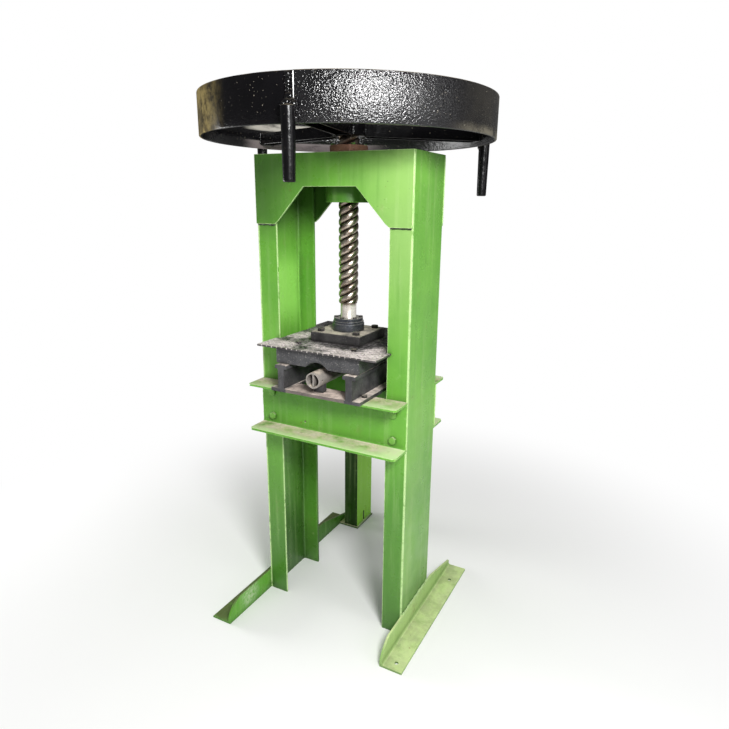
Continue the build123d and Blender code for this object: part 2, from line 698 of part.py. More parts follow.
# Square ram plate, bolted through the guide plate into the punch
with BuildPart() as ram_plate:
    with BuildSketch(Plane.XY.offset(guide_top)):
        Rectangle(RAM_PLATE_SIDE, RAM_PLATE_SIDE)
        with GridLocations(RAM_BOLT_PITCH, RAM_BOLT_PITCH, 2, 2):
            Circle(clearance_hole(RAM_BOLT), mode=Mode.SUBTRACT)
    extrude(amount=RAM_PLATE_THICK)
    top_edges = ram_plate.edges().group_by(Axis.Z)[-1].filter_by(GeomType.LINE)
    chamfer(top_edges, length=RAM_PLATE_EDGE)
    with BuildSketch(Plane.XY.offset(ram_top)):
        with bolt_ring(CAP_BOLT_CIRCLE, CAP_BOLT_COUNT):
            Circle(clearance_hole(CAP_BOLT))
    extrude(amount=-(CAP_BOLT_BITE + BOLT_END), mode=Mode.SUBTRACT)
save(ram_plate, "ram_plate")

ram_bolt = hexagon_bolt(RAM_BOLT, RAM_PLATE_THICK + GUIDE_THICK + RAM_BOLT_BITE)
with BuildPart() as ram_plate_bolts:
    with Locations((0, 0, ram_top)):
        with GridLocations(RAM_BOLT_PITCH, RAM_BOLT_PITCH, 2, 2):
            add(ram_bolt)
save(ram_plate_bolts, "ram_plate_bolts")

# Collar cup, with a pocket for the thrust disc and the screw's flange
with BuildPart() as collar_cup:
    with BuildSketch(Plane.XY.offset(ram_top)):
        Circle(COLLAR_DIAMETER / 2)
    extrude(amount=COLLAR_HEIGHT)
    chamfer(collar_cup.edges().group_by(Axis.Z)[-1], length=COLLAR_EDGE)
    with BuildSketch(Plane.XY.offset(disc_foot)):
        Circle(pocket_radius)
    extrude(amount=COLLAR_HEIGHT, mode=Mode.SUBTRACT)
    with BuildSketch(Plane.XY.offset(ram_top)):
        with bolt_ring(CAP_BOLT_CIRCLE, CAP_BOLT_COUNT):
            Circle(clearance_hole(CAP_BOLT))
    extrude(amount=COLLAR_HEIGHT, mode=Mode.SUBTRACT)
save(collar_cup, "collar_cup")

# Bronze thrust disc under the screw
with BuildPart() as thrust_disc:
    with BuildSketch(Plane.XY.offset(disc_foot)):
        Circle(pocket_radius - SLIP_GAP)
    extrude(amount=THRUST_DISC_THICK)
    chamfer(thrust_disc.edges(), length=WELD_GAP * 10)
save(thrust_disc, "thrust_disc")


def half_ring(diameter, foot, thick, turn):
    """Half a ring round the neck, drilled for the cap bolts, with its cut turned."""
    with BuildPart() as ring:
        with BuildSketch(Plane.XY.offset(foot)):
            Circle(diameter / 2)
            Circle(neck_bore, mode=Mode.SUBTRACT)
            with bolt_ring(CAP_BOLT_CIRCLE, CAP_BOLT_COUNT):
                Circle(clearance_hole(CAP_BOLT), mode=Mode.SUBTRACT)
            with Locations(Location((0, 0, 0), (0, 0, turn))):
                with Locations((0, RING_SPLIT / 2)):
                    Rectangle(diameter, diameter, align=LOW_ALIGN, mode=Mode.INTERSECT)
        extrude(amount=thick)
        rim = ring.edges().group_by(Axis.Z)[-1].filter_by(GeomType.CIRCLE).sort_by(SortBy.RADIUS)[-1]
        chamfer(rim, length=CAP_EDGE)
    return ring


# Split rings that close the collar over the screw's flange, their cuts crossed
spacer_turn = 360 / CAP_BOLT_COUNT
for name, turn in (("collar_left_spacer", spacer_turn), ("collar_right_spacer", spacer_turn + 180)):
    save(half_ring(SPACER_DIAMETER, collar_top, SPACER_THICK, turn), name)
for name, turn in (("collar_rear_cap", 0), ("collar_front_cap", 180)):
    save(half_ring(CAP_DIAMETER, spacer_top, CAP_THICK, turn), name)

cap_bolt = hexagon_bolt(CAP_BOLT, CAP_THICK + SPACER_THICK + COLLAR_HEIGHT + CAP_BOLT_BITE)
with BuildPart() as cap_bolts:
    with Locations((0, 0, cap_top)):
        with bolt_ring(CAP_BOLT_CIRCLE, CAP_BOLT_COUNT):
            add(cap_bolt)
save(cap_bolts, "cap_bolts")

# Screw: thrust flange, neck, thread, keyed journal and tip
with BuildPart() as screw:
    with BuildSketch(Plane.XZ):
        with BuildLine():
            Polyline(
                (0, screw_foot),
                (THRUST_FLANGE_DIAMETER / 2, screw_foot),
                (THRUST_FLANGE_DIAMETER / 2, thrust_flange_top),
                (NECK_DIAMETER / 2, thrust_flange_top),
                (NECK_DIAMETER / 2, thread_foot),
                (SCREW_DIAMETER / 2, thread_foot + THREAD_CHAMFER),
                (SCREW_DIAMETER / 2, hub_foot),
                (JOURNAL_DIAMETER / 2, hub_foot),
                (JOURNAL_DIAMETER / 2, journal_top),
                (TIP_DIAMETER / 2, journal_top),
                (TIP_DIAMETER / 2, tip_top - TIP_CHAMFER),
                (TIP_DIAMETER / 2 - TIP_CHAMFER, tip_top),
                (0, tip_top),
                close=True,
            )
        make_face()
    revolve(axis=Axis.Z)
    with BuildSketch(Plane.XY.offset(hub_foot + KEY_MARGIN)):
        with Locations((JOURNAL_DIAMETER / 2, 0)):
            Rectangle(2 * KEY_HALF_HEIGHT, KEY_WIDTH)
    extrude(amount=HUB_HEIGHT - 2 * KEY_MARGIN, mode=Mode.SUBTRACT)
save(screw, "screw")

# Key between the journal and the hub
with BuildPart() as hub_key:
    with BuildSketch(Plane.XY.offset(hub_foot + KEY_MARGIN)):
        with Locations((JOURNAL_DIAMETER / 2, 0)):
            Rectangle(2 * KEY_HALF_HEIGHT, KEY_WIDTH)
    extrude(amount=HUB_HEIGHT - 2 * KEY_MARGIN)
save(hub_key, "hub_key")

# Hub, resting on the shoulder of the screw
with BuildPart() as wheel_hub:
    with BuildSketch(Plane.XY.offset(hub_foot)):
        Circle(HUB_DIAMETER / 2)
    extrude(amount=HUB_HEIGHT)
    chamfer(wheel_hub.edges().filter_by(GeomType.CIRCLE), length=HUB_EDGE)
    with BuildSketch(Plane.XY.offset(hub_foot)):
        Circle(JOURNAL_DIAMETER / 2 + WELD_GAP)
        with Locations((JOURNAL_DIAMETER / 2, 0)):
            Rectangle(2 * KEY_HALF_HEIGHT, KEY_WIDTH)
    extrude(amount=HUB_HEIGHT, mode=Mode.SUBTRACT)
save(wheel_hub, "wheel_hub")

# Rim: a flat bar rolled to a hoop
with BuildPart() as wheel_rim:
    with BuildSketch(Plane.XZ) as section:
        with Locations((rim_inner, RIM_FOOT)):
            Rectangle(RIM_THICK, RIM_HEIGHT, align=(Align.MIN, Align.MIN))
        chamfer(section.vertices(), length=RIM_EDGE)
    revolve(axis=Axis.Z)
save(wheel_rim, "wheel_rim")

# Spokes and handles, one of each at every arm, set out by eye on the real wheel
for place, degrees in ARM_BEARINGS.items():
    bearing = radians(degrees)
    outward = (cos(bearing), sin(bearing), 0)
    across = (-sin(bearing), cos(bearing), 0)
    with BuildPart() as spoke:
        with BuildSketch(Plane(origin=(0, 0, hub_foot), x_dir=across, z_dir=outward)):
            Rectangle(SPOKE_WIDTH, SPOKE_HEIGHT, align=LOW_ALIGN)
            Rectangle(SPOKE_WIDTH - 2 * SPOKE_THICK, SPOKE_HEIGHT - SPOKE_THICK, align=LOW_ALIGN,
                      mode=Mode.SUBTRACT)
        extrude(amount=rim_inner)
        with BuildSketch(Plane.XY.offset(hub_foot)):
            Circle(rim_inner - WELD_GAP)
            Circle(HUB_DIAMETER / 2 + WELD_GAP, mode=Mode.SUBTRACT)
        extrude(amount=SPOKE_HEIGHT, mode=Mode.INTERSECT)
    save(spoke, f"{place}_spoke")
    with BuildPart() as handle:
        with Locations((handle_orbit * cos(bearing), handle_orbit * sin(bearing), handle_top)):
            Cone(HANDLE_END_DIAMETER / 2, HANDLE_TOP_DIAMETER / 2, HANDLE_LENGTHS[place],
                 align=(Align.CENTER, Align.CENTER, Align.MAX))
        fillet(handle.edges().filter_by(GeomType.CIRCLE), radius=HANDLE_EDGE)
    save(handle, f"{place}_handle")

# Washer and nut that hold the hub down
with BuildPart() as tip_washer:
    with BuildSketch(Plane.XY.offset(hub_top)):
        Circle(TIP_WASHER_DIAMETER / 2)
        Circle(TIP_DIAMETER / 2 + WELD_GAP, mode=Mode.SUBTRACT)
    extrude(amount=TIP_WASHER_THICK)
save(tip_washer, "tip_washer")

tip_hexagon = hexagon_block(TIP_NUT_ACROSS_FLATS, TIP_NUT_HEIGHT, TIP_NUT_BEVEL)
with BuildPart() as tip_nut:
    with Locations((0, 0, tip_nut_foot)):
        add(tip_hexagon)
    with BuildSketch(Plane.XY.offset(tip_nut_foot)):
        Circle(TIP_DIAMETER / 2 + WELD_GAP)
    extrude(amount=TIP_NUT_HEIGHT, mode=Mode.SUBTRACT)
save(tip_nut, "tip_nut")
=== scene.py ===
"""Looks of the hand press: paint, dust, bare steel, welds, the screw's thread, the
wheel's rolled rim and the chequered guide plate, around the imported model.

Metres. +Z is up and the front is -Y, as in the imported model."""
import json
from functools import reduce
from math import cos, pi, radians, sin, sqrt

import bmesh
import bpy
from mathutils import Matrix, Vector, noise


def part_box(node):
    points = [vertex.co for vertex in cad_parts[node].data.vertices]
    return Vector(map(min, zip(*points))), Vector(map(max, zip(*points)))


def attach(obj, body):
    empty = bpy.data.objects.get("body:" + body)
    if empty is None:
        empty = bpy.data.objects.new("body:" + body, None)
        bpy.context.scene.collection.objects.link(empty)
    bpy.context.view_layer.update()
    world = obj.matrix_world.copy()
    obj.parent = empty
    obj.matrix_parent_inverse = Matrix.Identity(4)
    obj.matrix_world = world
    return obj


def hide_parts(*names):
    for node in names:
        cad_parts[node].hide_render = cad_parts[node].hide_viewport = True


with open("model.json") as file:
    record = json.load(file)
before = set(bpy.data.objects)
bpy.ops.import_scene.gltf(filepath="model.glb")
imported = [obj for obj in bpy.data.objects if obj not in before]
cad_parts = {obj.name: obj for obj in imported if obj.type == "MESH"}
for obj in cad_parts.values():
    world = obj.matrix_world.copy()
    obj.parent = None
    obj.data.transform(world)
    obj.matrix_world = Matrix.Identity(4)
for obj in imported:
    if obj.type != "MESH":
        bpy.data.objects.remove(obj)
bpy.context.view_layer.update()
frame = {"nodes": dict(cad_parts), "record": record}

MM = 0.001

# Camera, from the photograph's perspective
CAMERA_PLACE = Vector((1.03743, -1.83826, 1.57601))
CAMERA_AZIMUTH = radians(27.8)
CAMERA_DOWN = radians(15.58)
CAMERA_ROLL = radians(0.57)
FOCAL_PIXELS = 585.8
PHOTO_PIXELS = 729
SENSOR_MM = 36

# Lamps: name, place, diameter in metres, watts
LAMP_AIM = Vector((0, 0, 1.0))
LAMPS = (
    ("main", (1.62, -1.70, 2.35), 0.75, 84),
    ("side", (4.2, -0.6, 2.6), 2.0, 22),
    ("left", (-3.5, -0.3, 0.6), 1.6, 95),
)

# Brightness of the surroundings as they light a surface, and as a surface mirrors them
DIFFUSE_SKY = 0.38
GLOSSY_SKY = 0.13
WHITE = (1, 1, 1, 1)

# Floor: its half size, and the distances over which the camera sees it turn white
FLOOR_REACH = 12.0
FLOOR_FADE = (0.6, 2.2)

# Places on the press that the finishes and the welds follow
COLUMN_LOW, COLUMN_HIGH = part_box("right_column")
HEAD_LOW, HEAD_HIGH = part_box("head_front_plate")
BEAM_LOW, BEAM_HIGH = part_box("front_bed_beam")
RIM_LOW, RIM_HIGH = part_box("wheel_rim")
GUIDE_LOW, GUIDE_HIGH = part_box("guide_plate")
OPENING = COLUMN_LOW.x
HALF_WIDTH = COLUMN_HIGH.x
DEPTH = COLUMN_HIGH.y

# Screw thread: three starts, right hand
THREAD_PITCH = 28 * MM
THREAD_STARTS = 3
THREAD_LEAD = THREAD_PITCH * THREAD_STARTS
THREAD_FOOT = 1218 * MM
THREAD_TOP = 1785 * MM
THREAD_RADIUS = 35 * MM
THREAD_COLUMNS = 72
LOBE_POWER = 2.6
RUN_OUT = 10 * MM
NECK_RADIUS = 28.5 * MM
NECK_FILLET = 1 * MM
NECK_LINE = 12 * MM
FLANGE_RADIUS = 37.5 * MM
FLANGE_HEIGHT = 13.4 * MM
FLANGE_CHAMFER = 1.5 * MM
JOURNAL_RADIUS = 27 * MM
JOURNAL_TOP = 1850.7 * MM
TIP_RADIUS = 24 * MM
TIP_CHAMFER = 2 * MM
END_RADIUS = 1 * MM

# Wheel
RIM_OUTER = 489 * MM
RIM_INNER = 477 * MM
RIM_ROUND = 2.5 * MM
RIM_CORNER = 0.3 * RIM_ROUND
RIM_STEPS = 216
RIM_WAVE = 0.4 * MM
SEAM_BEARING = radians(-77.6)
SEAM_WIDTH = 4.5 * MM
SEAM_LEAN = radians(0.45)
SEAM_LEAN_SHARE = 0.22
SEAM_DIP = 2.2 * MM
SEAM_DIP_REACH = radians(9)
HUB_RADIUS = 56 * MM
SPOKE_HALF_WIDTH = 30 * MM
ARM_BEARINGS = {"front": radians(-78.5), "right": radians(45), "left": radians(162)}

# Chequer pattern of the guide plate: each lozenge's outline is in shares of its half sizes
LOZENGE = ((1, 0), (0.35, 1), (-0.35, 1), (-1, 0), (-0.35, -1), (0.35, -1))
CHEQUER_LENGTH = 25 * MM
CHEQUER_WIDTH = 7 * MM
CHEQUER_HEIGHT = 1.5 * MM
CHEQUER_SUNK = 0.1 * MM
CHEQUER_TOP_SHARE = 0.62
CHEQUER_SPACING = 18 * MM
CHEQUER_BORDER = 1 * MM
NOTCH_CLEAR_X = 2.5 * MM
NOTCH_CLEAR_Y = 3.5 * MM
DRIP_SPACING = 21 * MM
DRIP_START = 22 * MM
DRIP_END = 8 * MM

BODY_OF = {
    node: body
    for body, members in frame["record"]["behaviour"]["bodies"].items()
    for node in members
}
SLOT_OF = {part["node"]: part["material_slot"] for part in frame["record"]["subparts"]}


def add_node(tree, kind, inputs, **settings):
    """Adds a shader node, sets its settings, and links or sets its inputs."""
    made = tree.nodes.new("ShaderNode" + kind)
    for key, value in settings.items():
        setattr(made, key, value)
    for key, value in inputs.items():
        set_input(tree, made.inputs[key], value)
    return made


def set_input(tree, socket, value):
    if isinstance(value, bpy.types.NodeSocket):
        tree.links.new(value, socket)
    else:
        socket.default_value = value


class Material:
    """A procedural material: a Principled shader, and short calls that add nodes to it.

    Its colour is laid on in layers, and its normal grows with each bump."""

    def __init__(self, name, metallic=0.0, specular=0.5):
        self.data = bpy.data.materials.new(name)
        self.data.use_nodes = True
        self.tree = self.data.node_tree
        self.shader = self.tree.nodes["Principled BSDF"]
        self.shader.inputs["Metallic"].default_value = metallic
        self.shader.inputs["Specular IOR Level"].default_value = specular
        self.place = self.node("TexCoord", {}).outputs["Object"]
        self.colour = None
        self.normal = None

    def node(self, kind, inputs, **settings):
        return add_node(self.tree, kind, inputs, **settings)

    def noise(self, scale, detail=4.0, rough=0.55, stretch=(1, 1, 1), shift=(0, 0, 0)):
        """Noise from 0 to 1, scale features to the metre."""
        place = self.node("Mapping", {"Vector": self.place, "Scale": stretch, "Location": shift})
        inputs = {"Vector": place.outputs[0], "Scale": scale, "Detail": detail, "Roughness": rough}
        return self.node("TexNoise", inputs).outputs["Fac"]

    def patches(self, scale, low, high, detail=5.0, rough=0.6, **where):
        """Noise turned into patches: 0 below low, 1 above high."""
        return self.span(self.noise(scale, detail, rough, **where), low, high)

    def span(self, value, low, high, to_low=0.0, to_high=1.0):
        """Maps low..high to to_low..to_high smoothly, and holds it there outside."""
        inputs = {0: value, 1: low, 2: high, 3: to_low, 4: to_high}
        return self.node("MapRange", inputs, interpolation_type="SMOOTHSTEP").outputs[0]

    def fade(self, value, low, high):
        """1 below low, 0 above high."""
        return self.span(value, low, high, 1.0, 0.0)

    def spare(self, value, rest):
        """1 where the value is 0, and only the rest where it is 1."""
        return self.span(value, 0.0, 1.0, 1.0, rest)

    def math(self, operation, a, b=0.0):
        return self.node("Math", {0: a, 1: b}, operation=operation).outputs[0]

    def chain(self, operation, values):
        return reduce(lambda a, b: self.math(operation, a, b), values)

    def times(self, *values):
        return self.chain("MULTIPLY", values)

    def add(self, *values):
        return self.chain("ADD", values)

    def most(self, *values):
        return self.chain("MAXIMUM", values)

    def plus(self, a, b):
        """The sum, held between 0 and 1."""
        return self.node("Math", {0: a, 1: b}, operation="ADD", use_clamp=True).outputs[0]

    def mix(self, factor, a, b):
        """Colour a where the factor is 0, and b where it is 1."""
        a, b = [(*tone, 1) if isinstance(tone, tuple) else tone for tone in (a, b)]
        return self.node("Mix", {0: factor, 6: a, 7: b}, data_type="RGBA").outputs[2]

    def lay(self, tone, *shares):
        """Lays a tone over the colour, as much as the product of the shares says."""
        self.colour = self.mix(self.times(*shares), self.colour, tone)

    def axis(self, axis):
        """The place along an axis, in metres."""
        return self.node("SeparateXYZ", {0: self.place}).outputs[axis]

    def off_centre(self, axis):
        """The distance from the middle along an axis, in metres."""
        return self.math("ABSOLUTE", self.axis(axis))

    def along(self, axis, low, high, to_low=0.0, to_high=1.0):
        """to_low below low and to_high above high, in metres along an axis."""
        return self.span(self.axis(axis), low, high, to_low, to_high)

    def before(self, axis, low, high):
        """1 below low, 0 above high, in metres along an axis."""
        return self.fade(self.axis(axis), low, high)

    def turned(self, axis):
        """How far the surface faces along an axis of its body, -1 to 1."""
        normal = self.node("TexCoord", {}).outputs["Normal"]
        return self.node("SeparateXYZ", {0: normal}).outputs[axis]

    def facing(self, axis="Z", low=0.6, high=0.95):
        """1 where the surface faces along the axis, 0 where it turns away."""
        return self.span(self.turned(axis), low, high)

    def crevice(self, distance, low=0.45, high=0.95):
        """1 in corners and cracks, 0 in the open."""
        open_share = self.node("AmbientOcclusion", {"Distance": distance}, samples=8)
        return self.fade(open_share.outputs["AO"], low, high)

    def bump(self, height, depth, strength=1.0):
        """Adds relief: height is 0 to 1, and depth its size in metres."""
        inputs = {"Height": height, "Distance": depth, "Strength": strength}
        if self.normal:
            inputs["Normal"] = self.normal
        self.normal = self.node("Bump", inputs).outputs[0]

    def uneven(self, scale, low, high, detail=5.0):
        """A roughness that wanders between low and high."""
        return self.span(self.noise(scale, detail), 0.3, 0.7, low, high)

    def finish(self, roughness):
        self.set("Base Color", self.colour)
        self.set("Roughness", roughness)
        if self.normal:
            self.set("Normal", self.normal)
        return self.data

    def set(self, socket, value):
        set_input(self.tree, self.shader.inputs[socket], value)


def darker(tone, share):
    return tuple(share * v for v in tone)


# Tones of the green paint, of what lies on it, and of the light and shade painted on it
GREEN = (0.150, 0.410, 0.046)
GREEN_DEEP = (0.105, 0.325, 0.034)
GREEN_PALE = (0.43, 0.60, 0.22)
GREEN_EDGE = (0.58, 0.80, 0.36)
GREEN_PAINTED_LIGHT = (0.34, 0.78, 0.13)
GREEN_RUBBED = (0.64, 0.86, 0.42)
# The tone of painted shade
GREEN_PAINTED_SHADE = (0.042, 0.140, 0.014)
GREEN_DARKEST = (0.012, 0.040, 0.005)
GREEN_CORNER_SHADE = (0.020, 0.048, 0.012)
OILY_GRIME_AND_SHADOW = (0.045, 0.125, 0.020)
PALE_STREAK = (0.46, 0.64, 0.27)
DARK_RUN = (0.075, 0.235, 0.025)
SCUFF = (0.42, 0.60, 0.25)
STAIN = (0.20, 0.19, 0.070)
CHIP = (0.055, 0.050, 0.035)
RUST = (0.19, 0.085, 0.030)
SAND = (0.66, 0.60, 0.38)
PINK_SAND = (0.68, 0.58, 0.47)
DARK_SAND = (0.33, 0.25, 0.16)
DRIED_CEMENT = (0.50, 0.60, 0.40)

# Where the green finishes change: heights, then places across and back from the middle
WEB_FILM_Z = (0.3, 1.2)
LOW_SHADE_Z = (0.22, 1.0)
FLOOR_SHADE_Z = (0.08, 0.30)
DEEP_SHADE_Z = (0.16, 0.58)
SPLASH_Z = (0.0, 0.26)
SUNNY_FOOT_Z = (1.06, 1.20)
SUNNY_TOP_Z = (1.30, 1.42)
WHEEL_SHADOW_Z = (HEAD_LOW.z - 96 * MM, HEAD_LOW.z + 44 * MM)
UNDER_WHEEL_SHADOW_Z = (HEAD_HIGH.z - 73 * MM, HEAD_HIGH.z + 7 * MM)
WHEEL_SHADOW_X = (-0.28, 0.04)
RIGHT_LIGHT_X = (-0.02, HALF_WIDTH)
LEFT_COLUMN_X = (-HALF_WIDTH + 30 * MM, -HALF_WIDTH + 50 * MM)
RUBBED_END_X = (0.17, 0.27)
RUBBED_END_Z = (0.80, 0.88)
BACK_SHADE_Y = (0.0, 0.24)
BACK_FRONT_Y = (0.0, 0.10)
SHADE_FROM_Y = (-DEPTH - 5 * MM, -DEPTH + 45 * MM)
SHADE_TO_Y = (0.25, 0.35)

# Tones on the steels and the black paint
BRIGHT_SPECK = (0.80, 0.77, 0.70)
STEEL_PIT = (0.03, 0.025, 0.02)
STEEL_CORNER_SHADE = (0.022, 0.019, 0.016)
BLACK_DUST = (0.40, 0.34, 0.25)


def bleach_and_painted_light(m, ahead, outside, webs, pale):
    """Sun bleaching and a pale, filmy coat on the outer webs, more so below, and painted light on what
    faces forward at the upper right.
    """
    web_film = m.times(
        outside,
        m.patches(2.2, 0.30, 0.62, 6.0, stretch=(1, 1, 0.35)),
        m.along("Z", *WEB_FILM_Z, 0.36 * webs, 0.07 * webs),
    )
    # Painted light: lighter on what faces forward at the upper right, above the bed
    above_bed = m.along("Z", BEAM_HIGH.z + 24 * MM, HEAD_LOW.z + 4 * MM)
    painted_light_upper_right = m.times(ahead, above_bed, m.along("X", *RIGHT_LIGHT_X), 0.42)
    return m.plus(m.plus(web_film, painted_light_upper_right), pale)


def deep_shade(m, ahead, inside, low_grime_and_shade):
    """Painted shade, the darkest part: low down between the columns and behind them."""
    between = m.times(m.along("Y", *SHADE_FROM_Y), m.before("Y", *SHADE_TO_Y))
    return m.times(between, m.before("Z", *DEEP_SHADE_Z), inside, low_grime_and_shade, m.spare(ahead, 0.2))


def low_shade(m, ahead, inside, low_grime_and_shade):
    """Shade that grows toward the floor, less so on what faces forward at the back."""
    back_front = m.times(ahead, m.along("Y", *BACK_FRONT_Y))
    low = m.times(m.along("Z", *LOW_SHADE_Z, 0.68, 0.0), inside, low_grime_and_shade, m.spare(back_front, 0.35))
    return m.most(low, m.along("Z", *FLOOR_SHADE_Z, 0.62 * low_grime_and_shade, 0.0))


def painted_light_on_flange(m):
    """Painted light: a brighter stretch on the left column's inner side, above the bed."""
    inner_side = m.times(m.facing("X", 0.6, 0.9), m.before("X", *LEFT_COLUMN_X))
    return m.times(inner_side, m.along("Z", *SUNNY_FOOT_Z), m.before("Z", *SUNNY_TOP_Z), 0.75)


def paint_marks(m, stained):
    """Pale and dark runs, scuffs and stains."""
    streaks = m.patches(8.0, 0.46, 0.72, stretch=(6, 6, 0.3))
    m.lay(PALE_STREAK, streaks, 0.16)
    runs = m.patches(6.0, 0.52, 0.74, stretch=(5, 5, 0.35), shift=(2, 7, 3))
    m.lay(DARK_RUN, runs, 0.30)
    scuffs = m.patches(26.0, 0.61, 0.72, 8.0, 0.7, shift=(3, 1, 7))
    m.lay(SCUFF, scuffs, 0.34)
    stains = m.patches(4.5, 0.60, 0.72, 6.0, 0.7, shift=(8, 5, 1))
    m.lay(STAIN, stains, stained)


def dried_splash(m, centre):
    away = m.node("VectorMath", {0: m.place, 1: centre}, operation="DISTANCE").outputs["Value"]
    splash = m.times(m.fade(away, 15 * MM, 75 * MM), m.patches(60.0, 0.35, 0.60, 6.0, 0.7), 0.6)
    m.lay(DRIED_CEMENT, splash)


def mottled_top(m, tone):
    """Another tone on what faces up."""
    tops = m.times(m.facing(), m.patches(14.0, 0.25, 0.50, 7.0, 0.68), 0.85)
    mottling = m.patches(10.0, 0.44, 0.60, 6.0, 0.7, shift=(1, 1, 5))
    m.lay(m.mix(mottling, tone, darker(tone, 0.72)), tops)


def paint_grime_and_shade(m, low_grime_and_shade):
    """The wheel's painted shadow at the left of the head, painted shadow with oily patches under
    the wheel, splashes near the floor, painted shade in the corners, chips and rusty spots."""
    # Painted shadow of the wheel, and under it painted shadow with oily patches; splashes near the floor
    left_of_head = m.times(m.along("Z", *WHEEL_SHADOW_Z), m.before("X", *WHEEL_SHADOW_X), 0.72)
    under_wheel = m.times(m.along("Z", *UNDER_WHEEL_SHADOW_Z), m.patches(7.0, 0.25, 0.6), 0.6)
    near_floor = m.times(m.before("Z", *SPLASH_Z), m.patches(11.0, 0.25, 0.65), 0.55 * low_grime_and_shade)
    m.lay(OILY_GRIME_AND_SHADOW, m.most(left_of_head, under_wheel, near_floor))
    # Painted shade in the corners
    m.lay(GREEN_CORNER_SHADE, m.crevice(45 * MM, 0.30, 0.92), 0.62)
    chips = m.patches(120.0, 0.715, 0.735, 3.0, 0.5, shift=(9, 2, 4))
    m.lay(CHIP, chips, 0.8)
    rust = m.patches(48.0, 0.70, 0.76, shift=(6, 6, 9))
    m.lay(RUST, rust, 0.7)


def worn_lines_and_highlights(m):
    """Bright lines at a column's outer corners and its flange tips in front: paint worn thin
    there, and a painted highlight along them."""
    beside = m.off_centre("X")
    corner = m.times(
        m.span(beside, HALF_WIDTH - 8 * MM, HALF_WIDTH - 3.5 * MM),
        m.before("Y", -DEPTH + 1.5 * MM, -DEPTH + 8 * MM),
    )
    tip = m.times(
        m.fade(beside, OPENING + 0.5 * MM, OPENING + 2.5 * MM),
        m.before("Y", -DEPTH + 11 * MM, -DEPTH + 15 * MM),
    )
    return m.times(m.most(corner, tip), m.patches(30.0, 0.28, 0.50, 4.0), 0.8)


def green_paint(name, dust=0.75, pale=0.0, edge=0.0, shade=0.0, ahead_shade=0.0,
                back_shade=0.0, low_grime_and_shade=1.0, webs=1.0, stained=0.34, shade_tone=GREEN_PAINTED_SHADE,
                top_tone=None, tint=None, splash=None, column=False, dusty_rim=None,
                specular=0.42):
    """Gloss paint with sun-bleached webs, run-down streaks, scuffs, chips, rusty spots, grime
    near the floor and cement dust on whatever faces up; with painted light at the upper right in front and
    on the left column's inner side, and painted shade low down, between the columns, in its corners and
    under the wheel."""
    m = Material(name, specular=specular)
    ahead = m.fade(m.turned("Y"), -0.9, -0.6)
    outside = m.times(
        m.span(m.off_centre("X"), HALF_WIDTH - 10 * MM, HALF_WIDTH - 3 * MM),
        m.span(m.math("ABSOLUTE", m.turned("X")), 0.6, 0.9),
    )
    inside = m.along("X", HALF_WIDTH - 8 * MM, HALF_WIDTH - 2 * MM, 1.0, 0.3)

    m.colour = m.mix(m.patches(3.0, 0.34, 0.66), GREEN_DEEP, GREEN)
    if tint:
        m.lay(tint, 0.6)
    # Pale bleaching on the webs, with painted light at the upper right in front
    pale_film_and_light = bleach_and_painted_light(m, ahead, outside, webs, pale)
    m.lay(GREEN_PALE, pale_film_and_light)
    # Painted light on the left column's inner side
    if column:
        m.lay(GREEN_PAINTED_LIGHT, painted_light_on_flange(m))
    # Painted shade: low down, deep between the columns, on what faces forward or back, and all over as the
    # look asks
    deep = deep_shade(m, ahead, inside, low_grime_and_shade)
    shaded = m.most(low_shade(m, ahead, inside, low_grime_and_shade), deep, m.times(ahead, ahead_shade), shade)
    if back_shade:
        shaded = m.most(shaded, m.along("Y", *BACK_SHADE_Y, 0.0, back_shade))
    m.lay(shade_tone, shaded)
    # More painted shade, darkest low down between the columns
    m.lay(GREEN_DARKEST, deep, m.math("SUBTRACT", 1.0, outside), 0.5)

    paint_marks(m, stained)
    if splash:
        dried_splash(m, splash)
    if top_tone:
        mottled_top(m, top_tone)
    paint_grime_and_shade(m, low_grime_and_shade)

    fine = m.noise(130.0, 6.0, 0.65)
    up = m.facing()
    cover = m.times(up, m.patches(8.0, 0.27, 0.56, 8.0, 0.68), m.span(fine, 0.25, 0.6, 0.6, 1.0), dust)
    if dusty_rim:
        # The outer strip of a flange is rubbed clean again
        rub = m.plus(m.off_centre("Y"), m.times(m.noise(18.0), 0.05))
        right_end = m.times(m.along("X", *RUBBED_END_X), m.before("Z", *RUBBED_END_Z))
        cover = m.times(cover, m.span(rub, *dusty_rim, 1.0, 0.25), m.spare(right_end, 0.5))
        clean = m.most(m.span(rub, *dusty_rim), right_end)
        m.lay(GREEN_RUBBED, up, clean, 0.85)
    sand = m.mix(m.patches(16.0, 0.35, 0.65, 6.0), SAND, PINK_SAND)
    dark_sand = m.times(m.patches(34.0, 0.58, 0.72, shift=(2, 2, 2)), 0.55)
    m.lay(m.mix(dark_sand, sand, DARK_SAND), cover)
    if column:
        # Worn paint and painted highlights along the columns' corners and flange tips
        m.lay(GREEN_EDGE, worn_lines_and_highlights(m))
    if edge:
        worn = m.span(m.noise(55.0, 5.0), 0.30, 0.58, 0.5 * edge, edge)
        m.lay(GREEN_EDGE, worn)

    m.bump(m.noise(210.0, 2.0), 0.18 * MM)
    m.bump(m.noise(15.0, 3.0), 1.4 * MM, 0.5)
    m.bump(m.times(cover, fine), 0.6 * MM)
    return m.finish(m.add(m.uneven(16.0, 0.24, 0.40), m.times(cover, 0.5), m.times(pale_film_and_light, 0.2)))


